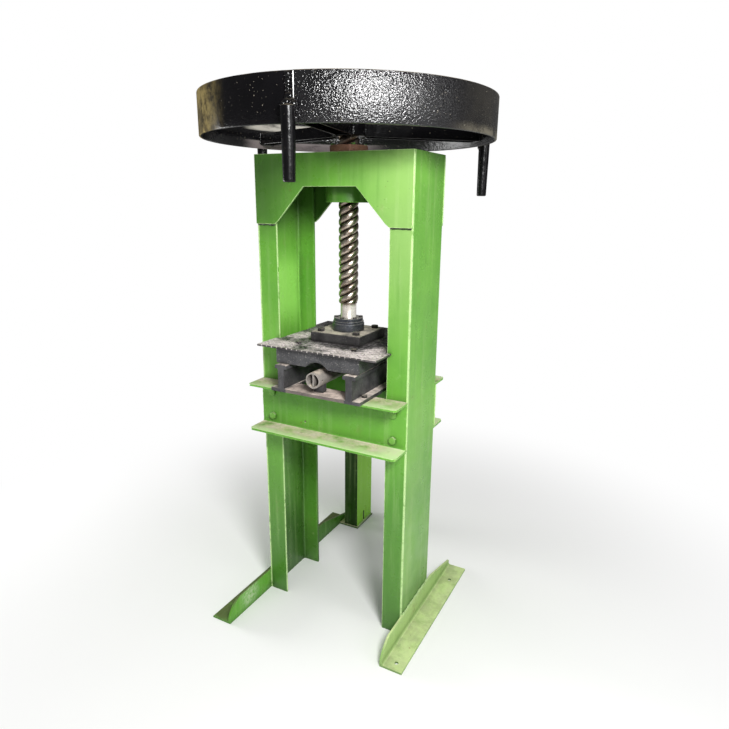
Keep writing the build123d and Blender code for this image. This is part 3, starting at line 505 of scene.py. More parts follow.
def bare_steel(name, light, dark, dusty, dust=0.6, metallic=0.75, rough=(0.38, 0.62),
               specks=0.4, relief=0.3 * MM, dust_scale=16.0):
    """Bare steel gone dull: mottling, bright specks, dark pits, painted shade in its corners, and dust on
    top faces.
    """
    m = Material(name)
    m.colour = m.mix(m.patches(14.0, 0.35, 0.65, 7.0, 0.65), dark, light)
    grain = m.noise(300.0, 4.0, 0.6)
    m.lay(dark, m.span(grain, 0.45, 0.62, 0.0, 0.35))
    spots = m.patches(300.0, 0.64, 0.68, 4.0, shift=(5, 3, 1))
    m.lay(BRIGHT_SPECK, spots, specks)
    pits = m.patches(140.0, 0.63, 0.67, 4.0, shift=(1, 8, 2))
    m.lay(STEEL_PIT, pits, specks)
    # Painted shade in the corners
    m.lay(STEEL_CORNER_SHADE, m.crevice(18 * MM, 0.35, 0.9), 0.7)
    cover = m.times(m.facing(), m.patches(dust_scale, 0.28, 0.58, 8.0, 0.7), dust)
    tone = m.mix(m.patches(45.0, 0.4, 0.66, 6.0), dusty, darker(dusty, 0.55))
    m.lay(tone, cover)
    m.bump(grain, relief)
    m.bump(m.times(cover, m.noise(190.0)), 0.8 * MM)
    if metallic:
        m.set("Metallic", m.span(cover, 0.0, 0.6, metallic, 0.0))
    return m.finish(m.add(m.uneven(40.0, *rough), m.times(cover, 0.3)))


def screw_steel():
    """Oiled steel: brown in the thread, grey on the neck, darker towards the head."""
    m = Material("screw_steel")
    thread_starts = (THREAD_FOOT - 12 * MM, THREAD_FOOT + 6 * MM)
    brown = m.mix(m.patches(30.0, 0.35, 0.65), (0.38, 0.30, 0.235), (0.80, 0.70, 0.60))
    grey_patches = m.patches(24.0, 0.35, 0.65, stretch=(1, 1, 0.3))
    grey = m.mix(grey_patches, (0.70, 0.64, 0.58), (0.98, 0.92, 0.86))
    m.colour = m.mix(m.along("Z", *thread_starts), grey, brown)
    # Painted shade towards and under the head
    m.lay((0.12, 0.08, 0.065), m.along("Z", 1.46, 1.60), 0.55)
    flakes = m.patches(150.0, 0.60, 0.68, 4.0)
    m.lay((0.06, 0.04, 0.03), flakes, 0.35)
    # Painted shade in the hollows
    m.lay((0.020, 0.013, 0.009), m.crevice(10 * MM, 0.40, 0.84), 0.95)

    # The grooves are darker, but not on the neck below them
    out = m.node("VectorMath", {0: m.place, 1: (1, 1, 0)}, operation="MULTIPLY").outputs[0]
    radius = m.node("VectorMath", {0: out}, operation="LENGTH").outputs["Value"]
    above_neck = m.along("Z", THREAD_FOOT + 8 * MM, THREAD_FOOT + 14 * MM)
    groove = m.times(m.fade(radius, 30.2 * MM, 33.6 * MM), above_neck, 0.88)
    m.lay((0.030, 0.019, 0.013), groove)
    m.set("Metallic", m.along("Z", *thread_starts, 0.45, 1.0))
    m.bump(m.noise(260.0, 3.0, stretch=(1, 1, 3)), 0.22 * MM)
    return m.finish(m.add(m.uneven(60.0, 0.24, 0.38), m.times(groove, 0.25)))


def black_dust(m, share):
    """Dust in patches on what faces up."""
    return m.times(m.facing("Z", 0.3, 0.9), m.patches(22.0, 0.35, 0.6, 7.0, 0.7), share)


def gloss_black(name, peel=0.0, dust=1.0, rough=(0.14, 0.24), specular=0.22):
    """Black gloss paint, with orange peel, dusty flecks and dust on top faces."""
    m = Material(name, specular=specular)
    m.colour = m.mix(m.noise(20.0), (0.0015, 0.0015, 0.0018), (0.0045, 0.0042, 0.005))
    flecks = m.patches(150.0, 0.69, 0.72, 3.0, shift=(4, 4, 2))
    m.lay((0.40, 0.36, 0.27), flecks, 0.45 * dust)
    up = black_dust(m, 0.6 * dust)
    m.lay(BLACK_DUST, up)
    if peel:
        m.bump(m.noise(150.0, 2.0, 0.5), peel)
    m.bump(m.noise(45.0, 2.0), 1.4 * MM)
    return m.finish(m.add(m.uneven(12.0, *rough, 4.0), m.times(up, 0.4)))


def rim_black():
    """The rim's gloss black: heavy orange peel right of the seam, smooth to its left, an
    ochre band of dust and painted light at the far left, dust along the lower right, and pale bands on the
    far inner face."""
    m = Material("rim_black")
    x = m.axis("X")
    y = m.axis("Y")
    front = m.fade(y, -0.05, 0.10)
    right_of_seam = m.span(x, 0.098, 0.112)
    rough_side = m.plus(m.times(front, right_of_seam), m.times(m.span(y, -0.05, 0.10), 0.5))
    outward = m.add(m.times(m.turned("X"), x), m.times(m.turned("Y"), y))
    outer_face = m.span(outward, -0.05, 0.05)
    inner_face = m.math("SUBTRACT", 1.0, outer_face)

    m.colour = m.mix(m.noise(20.0), (0.002, 0.002, 0.0025), (0.006, 0.0055, 0.0065))
    flecks = m.patches(150.0, 0.685, 0.72, 3.0, shift=(4, 4, 2))
    m.lay((0.42, 0.38, 0.30), flecks, 0.5)

    # Directions on the wheel: across runs to the right and a little back, behind square to it
    turn_cos, turn_sin = 0.885, 0.466
    across = m.add(m.times(x, turn_cos), m.times(y, turn_sin))
    behind = m.math("SUBTRACT", m.times(y, turn_cos), m.times(x, turn_sin))
    # The ochre band is dust and painted light, at the rim's left end as the camera sees it
    left_end = m.times(m.fade(across, -0.420, -0.330), m.fade(behind, -0.08, 0.06))
    ochre = m.times(left_end, outer_face, m.patches(24.0, 0.28, 0.56, 8.0, 0.75))
    ochre_tone = m.mix(m.patches(30.0, 0.4, 0.62), (0.33, 0.255, 0.095), (0.13, 0.100, 0.042))
    m.lay(ochre_tone, ochre, 0.9)

    right_end = m.span(across, 0.27, 0.46)
    low_edge = m.before("Z", RIM_LOW.z + 2 * MM, RIM_LOW.z + 30 * MM)
    haze_patches = m.patches(12.0, 0.28, 0.62, 7.0, 0.7)
    haze = m.times(right_end, outer_face, haze_patches, m.add(0.05, m.times(low_edge, 0.4)))
    m.lay((0.40, 0.36, 0.26), haze)
    back_patches = m.patches(9.0, 0.4, 0.65, 7.0, 0.7)
    m.lay((0.20, 0.165, 0.09), m.span(y, 0.0, 0.25), outer_face, back_patches, 0.35)

    # Pale bands on the far inner face, one above the spokes and one along the lower edge, paler upwards
    far_left = m.times(m.fade(x, -0.25, -0.06), m.span(y, 0.02, 0.10))
    upper_band = m.times(
        m.along("Z", RIM_LOW.z + 64 * MM, RIM_LOW.z + 70 * MM),
        m.before("Z", RIM_LOW.z + 92 * MM, RIM_LOW.z + 98 * MM),
    )
    bands = m.plus(upper_band, m.before("Z", RIM_LOW.z + 26 * MM, RIM_LOW.z + 32 * MM))
    band_patches = m.patches(10.0, 0.24, 0.5, 6.0, 0.7, stretch=(1, 1, 4))
    inner_bands = m.times(far_left, inner_face, bands, band_patches)
    inner_height = m.along("Z", RIM_LOW.z + 15 * MM, RIM_LOW.z + 65 * MM)
    inner_tone = m.mix(inner_height, (0.185, 0.150, 0.155), (0.40, 0.38, 0.33))
    m.lay(inner_tone, inner_bands, 0.95)
    up = black_dust(m, 0.7)
    m.lay(BLACK_DUST, up)

    peel = m.add(m.times(rough_side, 0.85), 0.15)
    m.bump(m.times(m.noise(200.0, 2.0), peel), 2.4 * MM)
    m.bump(m.noise(60.0, 2.0), 1.6 * MM)
    shine = m.times(m.span(rough_side, 0.0, 1.0, 0.2, 1.0), m.span(across, 0.14, 0.40, 1.0, 0.6))
    m.set("Specular IOR Level", m.times(shine, m.spare(left_end, 0.35)))
    dull_ends = m.plus(m.times(left_end, 0.7), m.times(haze, 0.6))
    dull = m.plus(dull_ends, m.plus(m.times(inner_bands, 0.5), m.times(up, 0.4)))
    return m.finish(m.add(m.uneven(12.0, 0.14, 0.21, 4.0), dull))


def chequer_steel():
    """Tread plate: dark, oily and pitted, with pinkish cement dust in patches that are
    thickest towards the front corners, and rubbed lozenges."""
    m = Material("chequer_steel", metallic=0.3)
    mottling = m.patches(14.0, 0.35, 0.65, 7.0, 0.65)
    m.colour = m.mix(mottling, (0.045, 0.040, 0.042), (0.12, 0.11, 0.11))
    grain = m.noise(300.0, 4.0, 0.6)
    near_sides = m.span(m.off_centre("X"), 0.06, 0.20, 0.0, 0.09)
    near_front = m.along("Y", GUIDE_LOW.y + 1 * MM, -0.05, 0.08, -0.02)
    amount = m.add(m.noise(7.0, 8.0, 0.66), m.add(near_sides, near_front))
    dust = m.times(m.facing("Z", 0.4, 0.9), m.span(amount, 0.50, 0.66), m.span(grain, 0.2, 0.55, 0.55, 1.0))
    tone = m.mix(m.patches(30.0, 0.4, 0.66, 6.0), (0.88, 0.78, 0.77), (0.56, 0.49, 0.47))
    m.lay(tone, dust)
    lozenge_tops = m.along("Z", GUIDE_HIGH.z + 0.3 * MM, GUIDE_HIGH.z + 1.2 * MM)
    m.lay((0.50, 0.47, 0.46), lozenge_tops, m.patches(60.0, 0.40, 0.62), 0.55)
    pits = m.patches(140.0, 0.60, 0.66, 4.0, shift=(1, 8, 2))
    m.lay((0.02, 0.018, 0.017), pits, 0.7)
    m.bump(grain, 0.3 * MM)
    m.bump(m.times(dust, m.noise(190.0)), 0.8 * MM)
    return m.finish(m.add(m.uneven(40.0, 0.32, 0.5), m.times(dust, 0.35)))


# What each look changes of its kind of finish
GREEN_LOOKS = {
    "green_paint": dict(),
    # With painted light on the left column's inner side, and worn, painted-highlit lines at the corners
    "green_column": dict(column=True),
    # Darker where it faces forward: painted shade
    "green_back_in_painted_shade": dict(ahead_shade=0.85),
    # Darker all over: painted shade
    "green_in_painted_shade": dict(shade=0.85),
    "green_edge": dict(edge=0.85),
    "green_beam": dict(dust=1.0, dusty_rim=(195 * MM, 240 * MM)),
    "green_beam_edge": dict(edge=0.9, dust=0.3),
    "green_foot": dict(dust=0.22, pale=0.72, low_grime_and_shade=0.25, stained=0.75, top_tone=(0.62, 0.80, 0.33)),
    # Painted shade towards the back, and a dark tone on its top
    "green_left_foot": dict(
        dust=0.04, webs=0.0, low_grime_and_shade=0.25, back_shade=1.0, top_tone=(0.085, 0.095, 0.035),
        splash=(-0.300, -0.265, 0.055), specular=0.2,
    ),
    "green_foot_edge": dict(edge=0.7, pale=0.2),
    # A brighter tint as painted light, and painted shade on what faces forward
    "green_leg_painted_light_and_shade": dict(
        ahead_shade=1.0, low_grime_and_shade=0.0, webs=0.0, shade_tone=(0.014, 0.044, 0.005),
        tint=(0.28, 0.63, 0.035), specular=0.1,
    ),
    "green_bolts": dict(dust=0.4, pale=0.12),
    "green_weld": dict(dust=0.2, pale=0.25, edge=0.55),
}
BLACK_LOOKS = {
    "black_paint": dict(),
    "handle_black": dict(dust=0.5, rough=(0.22, 0.32), specular=0.25),
    "weld_black": dict(peel=1.6 * MM, dust=0.12, rough=(0.06, 0.14), specular=0.5),
}
# Each steel's light, dark and dusty tone, and what it changes
STEEL_LOOKS = {
    # Burnt weld, near black, that also stands as a painted shadow under the head's plates
    "burnt_weld_and_shadow": (
        (0.045, 0.060, 0.030), (0.008, 0.012, 0.006), (0.1, 0.12, 0.06),
        dict(metallic=0.0, relief=0.6 * MM),
    ),
    "die_steel": (
        (0.125, 0.123, 0.128), (0.055, 0.054, 0.058), (0.74, 0.64, 0.56),
        dict(dust=1.0, metallic=0.45, specks=0.25),
    ),
    "strap_steel": (
        (0.22, 0.18, 0.16), (0.10, 0.085, 0.08), (0.80, 0.66, 0.57),
        dict(dust=1.0, metallic=0.2, dust_scale=9.0, specks=0.25),
    ),
    "core_steel": (
        (0.34, 0.31, 0.28), (0.17, 0.15, 0.135), (0.72, 0.62, 0.50),
        dict(dust=0.95, metallic=0.15, specks=0.3),
    ),
    "tip_steel": (
        (0.20, 0.17, 0.14), (0.08, 0.065, 0.05), (0.52, 0.47, 0.41), dict(dust=0.4),
    ),
    "plate_steel": (
        (0.15, 0.145, 0.145), (0.065, 0.062, 0.064), (0.68, 0.60, 0.49), dict(dust=1.0, specks=0.7),
    ),
    "collar_steel": (
        (0.125, 0.135, 0.155), (0.040, 0.044, 0.054), (0.50, 0.46, 0.42),
        dict(dust=0.8, metallic=0.7, rough=(0.26, 0.42)),
    ),
    "bolt_steel": (
        (0.13, 0.12, 0.12), (0.04, 0.037, 0.036), (0.42, 0.36, 0.29), dict(dust=0.5),
    ),
    "bronze": (
        (0.42, 0.225, 0.145), (0.22, 0.105, 0.068), (0.62, 0.42, 0.34), dict(dust=0.5, metallic=0.5),
    ),
    "punch_steel": (
        (0.125, 0.125, 0.130), (0.070, 0.070, 0.075), (0.55, 0.50, 0.42), dict(specks=0.75, metallic=0.5),
    ),
    "cement": (
        (0.74, 0.70, 0.66), (0.50, 0.46, 0.42), (0.74, 0.70, 0.66), dict(metallic=0.0, rough=(0.7, 0.9)),
    ),
    # Near white: bare steel, and a painted highlight on the seam's edge
    "bare_edge_and_highlight": (
        (0.86, 0.86, 0.84), (0.62, 0.62, 0.60), (0.8, 0.8, 0.78),
        dict(metallic=0.1, rough=(0.2, 0.35), specks=0.1),
    ),
}

looks = {"rim_black": rim_black(), "screw_steel": screw_steel(), "chequer_steel": chequer_steel()}
for name, changes in GREEN_LOOKS.items():
    looks[name] = green_paint(name, **changes)
for name, changes in BLACK_LOOKS.items():
    looks[name] = gloss_black(name, **changes)
for name, (*tones, changes) in STEEL_LOOKS.items():
    looks[name] = bare_steel(name, *tones, **changes)

# Nodes whose look differs from their slot's own
NODES_OF_LOOK = {
    "green_column": ("left_column", "right_column"),
    "green_beam": ("front_bed_beam", "rear_bed_beam"),
    "green_left_foot": ("left_foot",),
    "green_foot": ("right_foot",),
    "green_in_painted_shade": ("rear_foot_plate", "nut_housing"),
    "green_back_in_painted_shade": ("head_back_plate",),
    "green_leg_painted_light_and_shade": ("rear_leg",),
    "strap_steel": ("die_front_strap", "die_rear_strap"),
    "handle_black": ("front_handle", "right_handle", "left_handle"),
    "tip_steel": ("tip_washer", "tip_nut", "hub_key"),
}
LOOK_OF = {node: look for look, nodes in NODES_OF_LOOK.items() for node in nodes}

# Worn edges: the look of a piece's edges by its own look, and how wide they are
EDGE_OF = {
    "green_paint": "green_edge", "green_column": "green_edge", "green_back_in_painted_shade": "green_edge",
    "green_leg_painted_light_and_shade": "green_edge", "green_in_painted_shade": "green_paint", "green_beam": "green_beam_edge",
    "green_foot": "green_foot_edge", "green_left_foot": "green_foot_edge",
}
BEVEL_OF = {"green_column": 3 * MM, "green_beam": 1.8 * MM}
SMALL_BEVEL = 0.6 * MM
USUAL_BEVEL = 1.3 * MM


def new_object(name, data):
    made = bpy.data.objects.new(name, data)
    bpy.context.scene.collection.objects.link(made)
    return made


def new_piece(name, mesh, body, slot, *materials):
    """A new object that rides on a body, with the given looks as its materials."""
    piece = new_object(name, mesh)
    mesh.materials.clear()
    for key in materials:
        mesh.materials.append(looks[key])
    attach(piece, body)
    return piece


def smooth_mesh(name, vertices, faces):
    mesh = bpy.data.meshes.new(name)
    mesh.from_pydata(vertices, [], faces)
    mesh.validate()
    mesh.shade_smooth()
    return mesh


def merged(mesh, distance=1e-6):
    """Joins a mesh's doubled points and turns its faces outward."""
    bm = bmesh.new()
    bm.from_mesh(mesh)
    bmesh.ops.remove_doubles(bm, verts=bm.verts, dist=distance)
    bmesh.ops.dissolve_degenerate(bm, dist=distance, edges=bm.edges)
    bmesh.ops.recalc_face_normals(bm, faces=bm.faces)
    bm.to_mesh(mesh)
    bm.free()
    return mesh


def whole_faces(node):
    """A CAD node's shape with its flat faces made whole again."""
    bm = bmesh.new()
    bm.from_mesh(frame["nodes"][node].data)
    bmesh.ops.remove_doubles(bm, verts=bm.verts, dist=1e-5)
    bmesh.ops.dissolve_limit(bm, angle_limit=radians(0.8), verts=bm.verts, edges=bm.edges)
    return bm


def dress(node):
    """Stands for a CAD node with the same shape, its sharp edges broken."""
    slot = SLOT_OF[node]
    look = LOOK_OF.get(node, slot)
    edge = EDGE_OF.get(look)
    bm = whole_faces(node)
    mesh = bpy.data.meshes.new(node + "_mesh")
    bm.to_mesh(mesh)
    bm.free()
    for face in mesh.polygons:
        face.material_index = 0
    mesh.shade_smooth()
    mesh.set_sharp_from_angle(angle=radians(32))
    piece = new_piece(node + "_dressed", mesh, BODY_OF[node], slot, *([look, edge] if edge else [look]))
    small = node.endswith(("bolts", "nuts", "washers"))
    rounded = piece.modifiers.new("edges", "BEVEL")
    rounded.width = SMALL_BEVEL if small else BEVEL_OF.get(look, USUAL_BEVEL)
    rounded.segments = 2
    rounded.limit_method = "ANGLE"
    rounded.angle_limit = radians(40)
    rounded.harden_normals = True
    if edge:
        rounded.material = 1
    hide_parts(node)


def joined_rings(rings, count, base=0):
    """Faces that join rings of count points, each to the next, from point number base."""
    faces = []
    for j in range(rings - 1):
        for i in range(count):
            a = base + j * count + i
            b = base + j * count + (i + 1) % count
            faces.append((a, b, b + count, a + count))
    return faces


def rows_mesh(name, rows, diagonal=False):
    """A mesh from closed rings of points, its faces cut along a diagonal if asked."""
    faces = joined_rings(len(rows), len(rows[0]))
    if diagonal:
        faces = [half for a, b, c, d in faces for half in ((a, b, c), (a, c, d))]
    return smooth_mesh(name, [p for row in rows for p in row], faces)


def thread_radius(z, angle):
    """The rope-like thread: round lobes with sharp grooves between them."""
    phase = ((z - THREAD_FOOT - THREAD_LEAD * angle / (2 * pi)) / THREAD_PITCH) % 1.0
    lobe = 1 - abs(2 * phase - 1) ** LOBE_POWER
    rise = min(1.0, max(0.0, (z - THREAD_FOOT) / RUN_OUT))
    rise = sqrt(max(0.0, 1 - (1 - rise) ** 2))
    return NECK_RADIUS + (THREAD_RADIUS - NECK_RADIUS) * lobe * rise


def make_screw():
    """The screw from its thrust flange up: neck, thread, journal and tip."""
    low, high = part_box("screw")
    step = THREAD_LEAD / THREAD_COLUMNS
    angles = [2 * pi * i / THREAD_COLUMNS for i in range(THREAD_COLUMNS)]

    def ring(z, radius):
        return [(radius * cos(a), radius * sin(a), z) for a in angles]

    flange_top = low.z + FLANGE_HEIGHT
    flange_and_neck = (
        (low.z, END_RADIUS), (low.z, FLANGE_RADIUS - FLANGE_CHAMFER),
        (low.z + FLANGE_CHAMFER, FLANGE_RADIUS), (flange_top - FLANGE_CHAMFER, FLANGE_RADIUS),
        (flange_top, FLANGE_RADIUS - FLANGE_CHAMFER), (flange_top, NECK_RADIUS + NECK_FILLET),
        (flange_top + NECK_FILLET, NECK_RADIUS), (THREAD_FOOT - NECK_LINE, NECK_RADIUS),
    )
    rows = [ring(z, radius) for z, radius in flange_and_neck]
    count = int(round((THREAD_TOP - THREAD_FOOT) / step))
    for j in range(count + 1):
        z = THREAD_FOOT + j * step
        rows.append([(thread_radius(z, a) * cos(a), thread_radius(z, a) * sin(a), z) for a in angles])
    top = THREAD_FOOT + count * step
    journal_and_tip = (
        (top, JOURNAL_RADIUS), (JOURNAL_TOP, JOURNAL_RADIUS), (JOURNAL_TOP, TIP_RADIUS),
        (high.z - TIP_CHAMFER, TIP_RADIUS), (high.z, TIP_RADIUS - TIP_CHAMFER), (high.z, END_RADIUS),
    )
    rows += [ring(z, radius) for z, radius in journal_and_tip]
    mesh = merged(rows_mesh("screw_mesh", rows, diagonal=True))
    mesh.set_sharp_from_angle(angle=radians(50))
    piece = new_piece("screw_threaded", mesh, "screw", "screw_steel", "screw_steel")
    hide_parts("screw")


def make_rim():
    """The rolled rim: a slightly wavy band with rounded edges, lapped at its seam."""
    foot, top = RIM_LOW.z, RIM_HIGH.z
    middle = (foot + top) / 2
    section = (
        (RIM_OUTER - RIM_ROUND, foot), (RIM_OUTER - RIM_CORNER, foot + RIM_CORNER),
        (RIM_OUTER, foot + RIM_ROUND), (RIM_OUTER, middle), (RIM_OUTER, top - RIM_ROUND),
        (RIM_OUTER - RIM_CORNER, top - RIM_CORNER), (RIM_OUTER - RIM_ROUND, top),
        (RIM_INNER + RIM_ROUND, top), (RIM_INNER, top - RIM_ROUND), (RIM_INNER, middle),
        (RIM_INNER, foot + RIM_ROUND), (RIM_INNER + RIM_ROUND, foot),
    )
    bearings = [2 * pi * i / RIM_STEPS for i in range(RIM_STEPS)]
    bearings += [SEAM_BEARING % (2 * pi) + radians(d) for d in (-3, -0.9, -0.3, -0.03, 0.03, 0.3)]
    rows = []
    for a in sorted(bearings):
        row = []
        before_seam = (SEAM_BEARING - a) % (2 * pi)
        dip = SEAM_DIP * max(0.0, 1 - before_seam / SEAM_DIP_REACH)
        for radius, z in section:
            wave = RIM_WAVE * noise.noise(Vector((3 * cos(a), 3 * sin(a), z * 20)))
            r = min(radius + wave, RIM_OUTER)
            if radius > (RIM_OUTER + RIM_INNER) / 2:
                r -= dip
            row.append((r * cos(a), r * sin(a), z))
        rows.append(row)
    rows.append(rows[0])
    mesh = merged(rows_mesh("rim_mesh", rows))
    mesh.set_sharp_from_angle(angle=radians(60))
    piece = new_piece("rim_rolled", mesh, "screw", "black_paint", "rim_black")
    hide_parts("wheel_rim")


def lozenge_ring(x, y, turn, scale, z):
    """A lozenge's outline round a place, turned and scaled, kept on the plate."""
    ring = []
    for along, across in LOZENGE:
        u = scale * along * CHEQUER_LENGTH / 2
        v = scale * across * CHEQUER_WIDTH / 2
        px = x + u * cos(turn) - v * sin(turn)
        py = y + u * sin(turn) + v * cos(turn)
        px = min(max(px, GUIDE_LOW.x + CHEQUER_BORDER), GUIDE_HIGH.x - CHEQUER_BORDER)
        py = min(max(py, GUIDE_LOW.y + CHEQUER_BORDER), GUIDE_HIGH.y - CHEQUER_BORDER)
        ring.append((px, py, z))
    return ring


def in_notch(x, y):
    """Whether a place is where the guide plate is cut out round a column."""
    return abs(x) > OPENING - NOTCH_CLEAR_X and abs(y) < DEPTH + NOTCH_CLEAR_Y


def make_chequer_plate():
    """The guide plate with raised lozenges in a criss-cross, each set square to the next,
    and none under the ram plate."""
    ram_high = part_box("ram_plate")[1]
    bm = whole_faces("guide_plate")
    columns = int((GUIDE_HIGH.x - GUIDE_LOW.x) / CHEQUER_SPACING)
    lines = int((GUIDE_HIGH.y - GUIDE_LOW.y) / CHEQUER_SPACING)
    for i in range(columns):
        for j in range(lines):
            x = (i - (columns - 1) / 2) * CHEQUER_SPACING
            y = (j - (lines - 1) / 2) * CHEQUER_SPACING
            if abs(x) < ram_high.x and abs(y) < ram_high.y:
                continue
            turn = radians(45 if (i + j) % 2 else -45)
            foot = lozenge_ring(x, y, turn, 1.0, GUIDE_HIGH.z - CHEQUER_SUNK)
            head = lozenge_ring(x, y, turn, CHEQUER_TOP_SHARE, GUIDE_HIGH.z + CHEQUER_HEIGHT)
            if any(in_notch(px, py) for px, py, z in foot):
                continue
            base, top = [[bm.verts.new(p) for p in ring] for ring in (foot, head)]
            bm.faces.new(top)
            for k in range(len(LOZENGE)):
                n = (k + 1) % len(LOZENGE)
                bm.faces.new((base[k], base[n], top[n], top[k]))
    bm.normal_update()
    mesh = bpy.data.meshes.new("chequer_mesh")
    bm.to_mesh(mesh)
    bm.free()
    piece = new_piece("guide_plate_chequered", mesh, "ram", "chequer_steel", "chequer_steel")
    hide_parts("guide_plate")


def make_drips():
    """Hardened drips of cement along the guide plate's front edge."""
    drips = Beads()
    for i in range(int((GUIDE_HIGH.x - GUIDE_LOW.x - DRIP_START - DRIP_END) / DRIP_SPACING)):
        x = GUIDE_LOW.x + DRIP_START + i * DRIP_SPACING
        drop = (3.0 + 2.5 * noise.noise(Vector((i * 1.7, 0.3, 0.9)))) * MM
        place = (x, GUIDE_LOW.y - 0.2 * MM, GUIDE_HIGH.z - drop / 2)
        drips.blob(place, (1.6 * MM, 1.1 * MM, drop), seed=i)
    drips.finish("guide_plate_drips", "ram", "chequer_steel", "cement")


def point_along(line, travel):
    """The point at a distance along a line of points, and the line's direction there."""
    for start, end in zip(line, line[1:]):
        length = (end - start).length
        if travel <= length or end is line[-1]:
            return start.lerp(end, travel / length), (end - start).normalized()
        travel -= length


# A bead's scales: how deep they are, as a share of its radius, and how long, in radii
SCALE_DEPTH = 0.18
SCALE_LENGTH = 1.5


class Beads:
    """Collects weld beads and blobs into one mesh."""

    def __init__(self):
        self.vertices = []
        self.faces = []

    def rings(self, rows):
        """Adds a closed tube through rings of points, with one face at each end."""
        count = len(rows[0])
        first = len(self.vertices)
        last = first + (len(rows) - 1) * count
        self.vertices += [tuple(p) for row in rows for p in row]
        self.faces += joined_rings(len(rows), count, first)
        self.faces += [tuple(range(first, first + count))[::-1], tuple(range(last, last + count))]

    def line(self, points, radius, seed, ragged=0.16, sides=8):
        """A bead along points: overlapping scales, like a row of coins."""
        line = [Vector(p) for p in points]
        total = sum((b - a).length for a, b in zip(line, line[1:]))
        steps = max(4, int(total / (radius * 0.5)))
        rows = []
        for s in range(steps + 1):
            distance = total * s / steps
            centre, direction = point_along(line, distance)
            side = direction.cross(Vector((0.31, 0.17, 0.93))).normalized()
            other = direction.cross(side)
            scale = 1 - SCALE_DEPTH + SCALE_DEPTH * abs(sin(pi * distance / (radius * SCALE_LENGTH)))
            scale += 2 * ragged * noise.noise(Vector((distance * 60, seed * 3.1, 0)))
            wander = 1.2 * ragged * radius * noise.noise(Vector((distance * 35, seed * 1.7, 4)))
            if s in (0, steps):
                scale *= 0.3
            rows.append([
                centre + side * wander
                + (side * cos(2 * pi * k / sides) + other * sin(2 * pi * k / sides)) * radius * scale
                for k in range(sides)
            ])
        self.rings(rows)

    def upright(self, x, y, low, high, radius, **look):
        """A straight bead that runs up from low to high."""
        self.line([(x, y, low), (x, y, high)], radius, **look)

    def blob(self, centre, size, seed, sides=10, layers=6):
        """A lumpy blob of half-sizes size."""
        rows = []
        for j in range(layers + 1):
            slope = pi * (j + 0.15) / (layers + 0.3) - pi / 2
            row = []
            for k in range(sides):
                a = 2 * pi * k / sides
                p = Vector((cos(a) * cos(slope), sin(a) * cos(slope), sin(slope)))
                lump = 1 + 0.22 * noise.noise(p * 1.6 + Vector((seed * 2.3, seed, 0)))
                row.append(tuple(centre[i] + p[i] * size[i] * lump for i in range(3)))
            rows.append(row)
        self.rings(rows)

    def finish(self, name, body, slot, material):
        mesh = smooth_mesh(name + "_mesh", self.vertices, self.faces)
        new_piece(name, merged(mesh, 1e-7), body, slot, material)


def outward(bearing):
    return Vector((cos(bearing), sin(bearing), 0))


def make_head_undercut():
    """Burnt weld and a painted shadow of the gap: dark runs under the lower corners of the head's plates.
    """
    burnt_and_shadow = Beads()
    z = HEAD_LOW.z - 1.5 * MM
    for side in (-1, 1):
        for face in (-1, 1):
            y = face * (DEPTH + 3 * MM)
            ends = [(side * (OPENING + 3 * MM), y, z), (side * (HALF_WIDTH - 4 * MM), y, z)]
            burnt_and_shadow.line(ends, 3.2 * MM, seed=side + 3 * face, ragged=0.45)
    burnt_and_shadow.finish("head_plate_undercut", "frame", "green_paint", "burnt_weld_and_shadow")


def column_welds(runs, side):
    """The runs of one column: at the head's plates, the beams and its foot."""
    foot_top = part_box("right_foot")[1].z
    for face in (-1, 1):
        y = face * (DEPTH + 4 * MM)
        runs.upright(side * HALF_WIDTH, y, HEAD_LOW.z + 8 * MM, HEAD_HIGH.z - 8 * MM, 2.0 * MM,
                     seed=4 + side + face)
        runs.upright(side * (HALF_WIDTH + 0.5 * MM), y, BEAM_LOW.z + 6 * MM, BEAM_HIGH.z - 6 * MM,
                     3.0 * MM, seed=9 + side + face, ragged=0.35)
    x = side * (HALF_WIDTH + 2.5 * MM)
    z = foot_top + 0.5 * MM
    runs.line([(x, -DEPTH + 4 * MM, z), (x, DEPTH - 4 * MM, z)], 4.0 * MM, seed=15 + side, ragged=0.4)
    for face in (-1, 1):
        runs.upright(x, face * (DEPTH + 1 * MM), 6 * MM, foot_top - 4 * MM, 3.2 * MM, seed=19 + side + face)


def deck_welds(runs):
    """The runs under the lower deck: round the nut's housing and along the plates."""
    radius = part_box("nut_housing")[1].x + 1.5 * MM
    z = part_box("head_lower_deck")[0].z - 1 * MM
    bearings = [radians(9 * i) for i in range(41)]
    runs.line([(radius * cos(a), radius * sin(a), z) for a in bearings], 3.4 * MM, seed=23)
    for y in (-DEPTH + 12 * MM, DEPTH - 12 * MM):
        runs.line([(-OPENING, y * 1.04, z), (OPENING, y * 1.04, z)], 2.6 * MM, seed=25)


def leg_welds(runs):
    """The runs of the rear leg's tie bar and of its foot."""
    leg_low, leg_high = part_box("rear_leg")
    tie_low, tie_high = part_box("rear_leg_tie")
    for x in (tie_low.x - 0.5 * MM, tie_high.x + 0.5 * MM):
        for y in (tie_low.y + 0.5 * MM, tie_high.y - 0.5 * MM):
            runs.upright(x, y, tie_low.z + 4 * MM, tie_high.z - 4 * MM, 3.2 * MM, seed=27 + 100 * x)
    x = leg_high.x + 0.5 * MM
    z = leg_low.z + 0.5 * MM
    runs.line([(x, leg_low.y + 6 * MM, z), (x, leg_high.y - 6 * MM, z)], 3.4 * MM, seed=29)


def make_frame_welds():
    """The runs that hold the frame together."""
    runs = Beads()
    for side in (-1, 1):
        column_welds(runs, side)
    deck_welds(runs)
    leg_welds(runs)
    runs.finish("frame_welds", "frame", "green_paint", "green_weld")


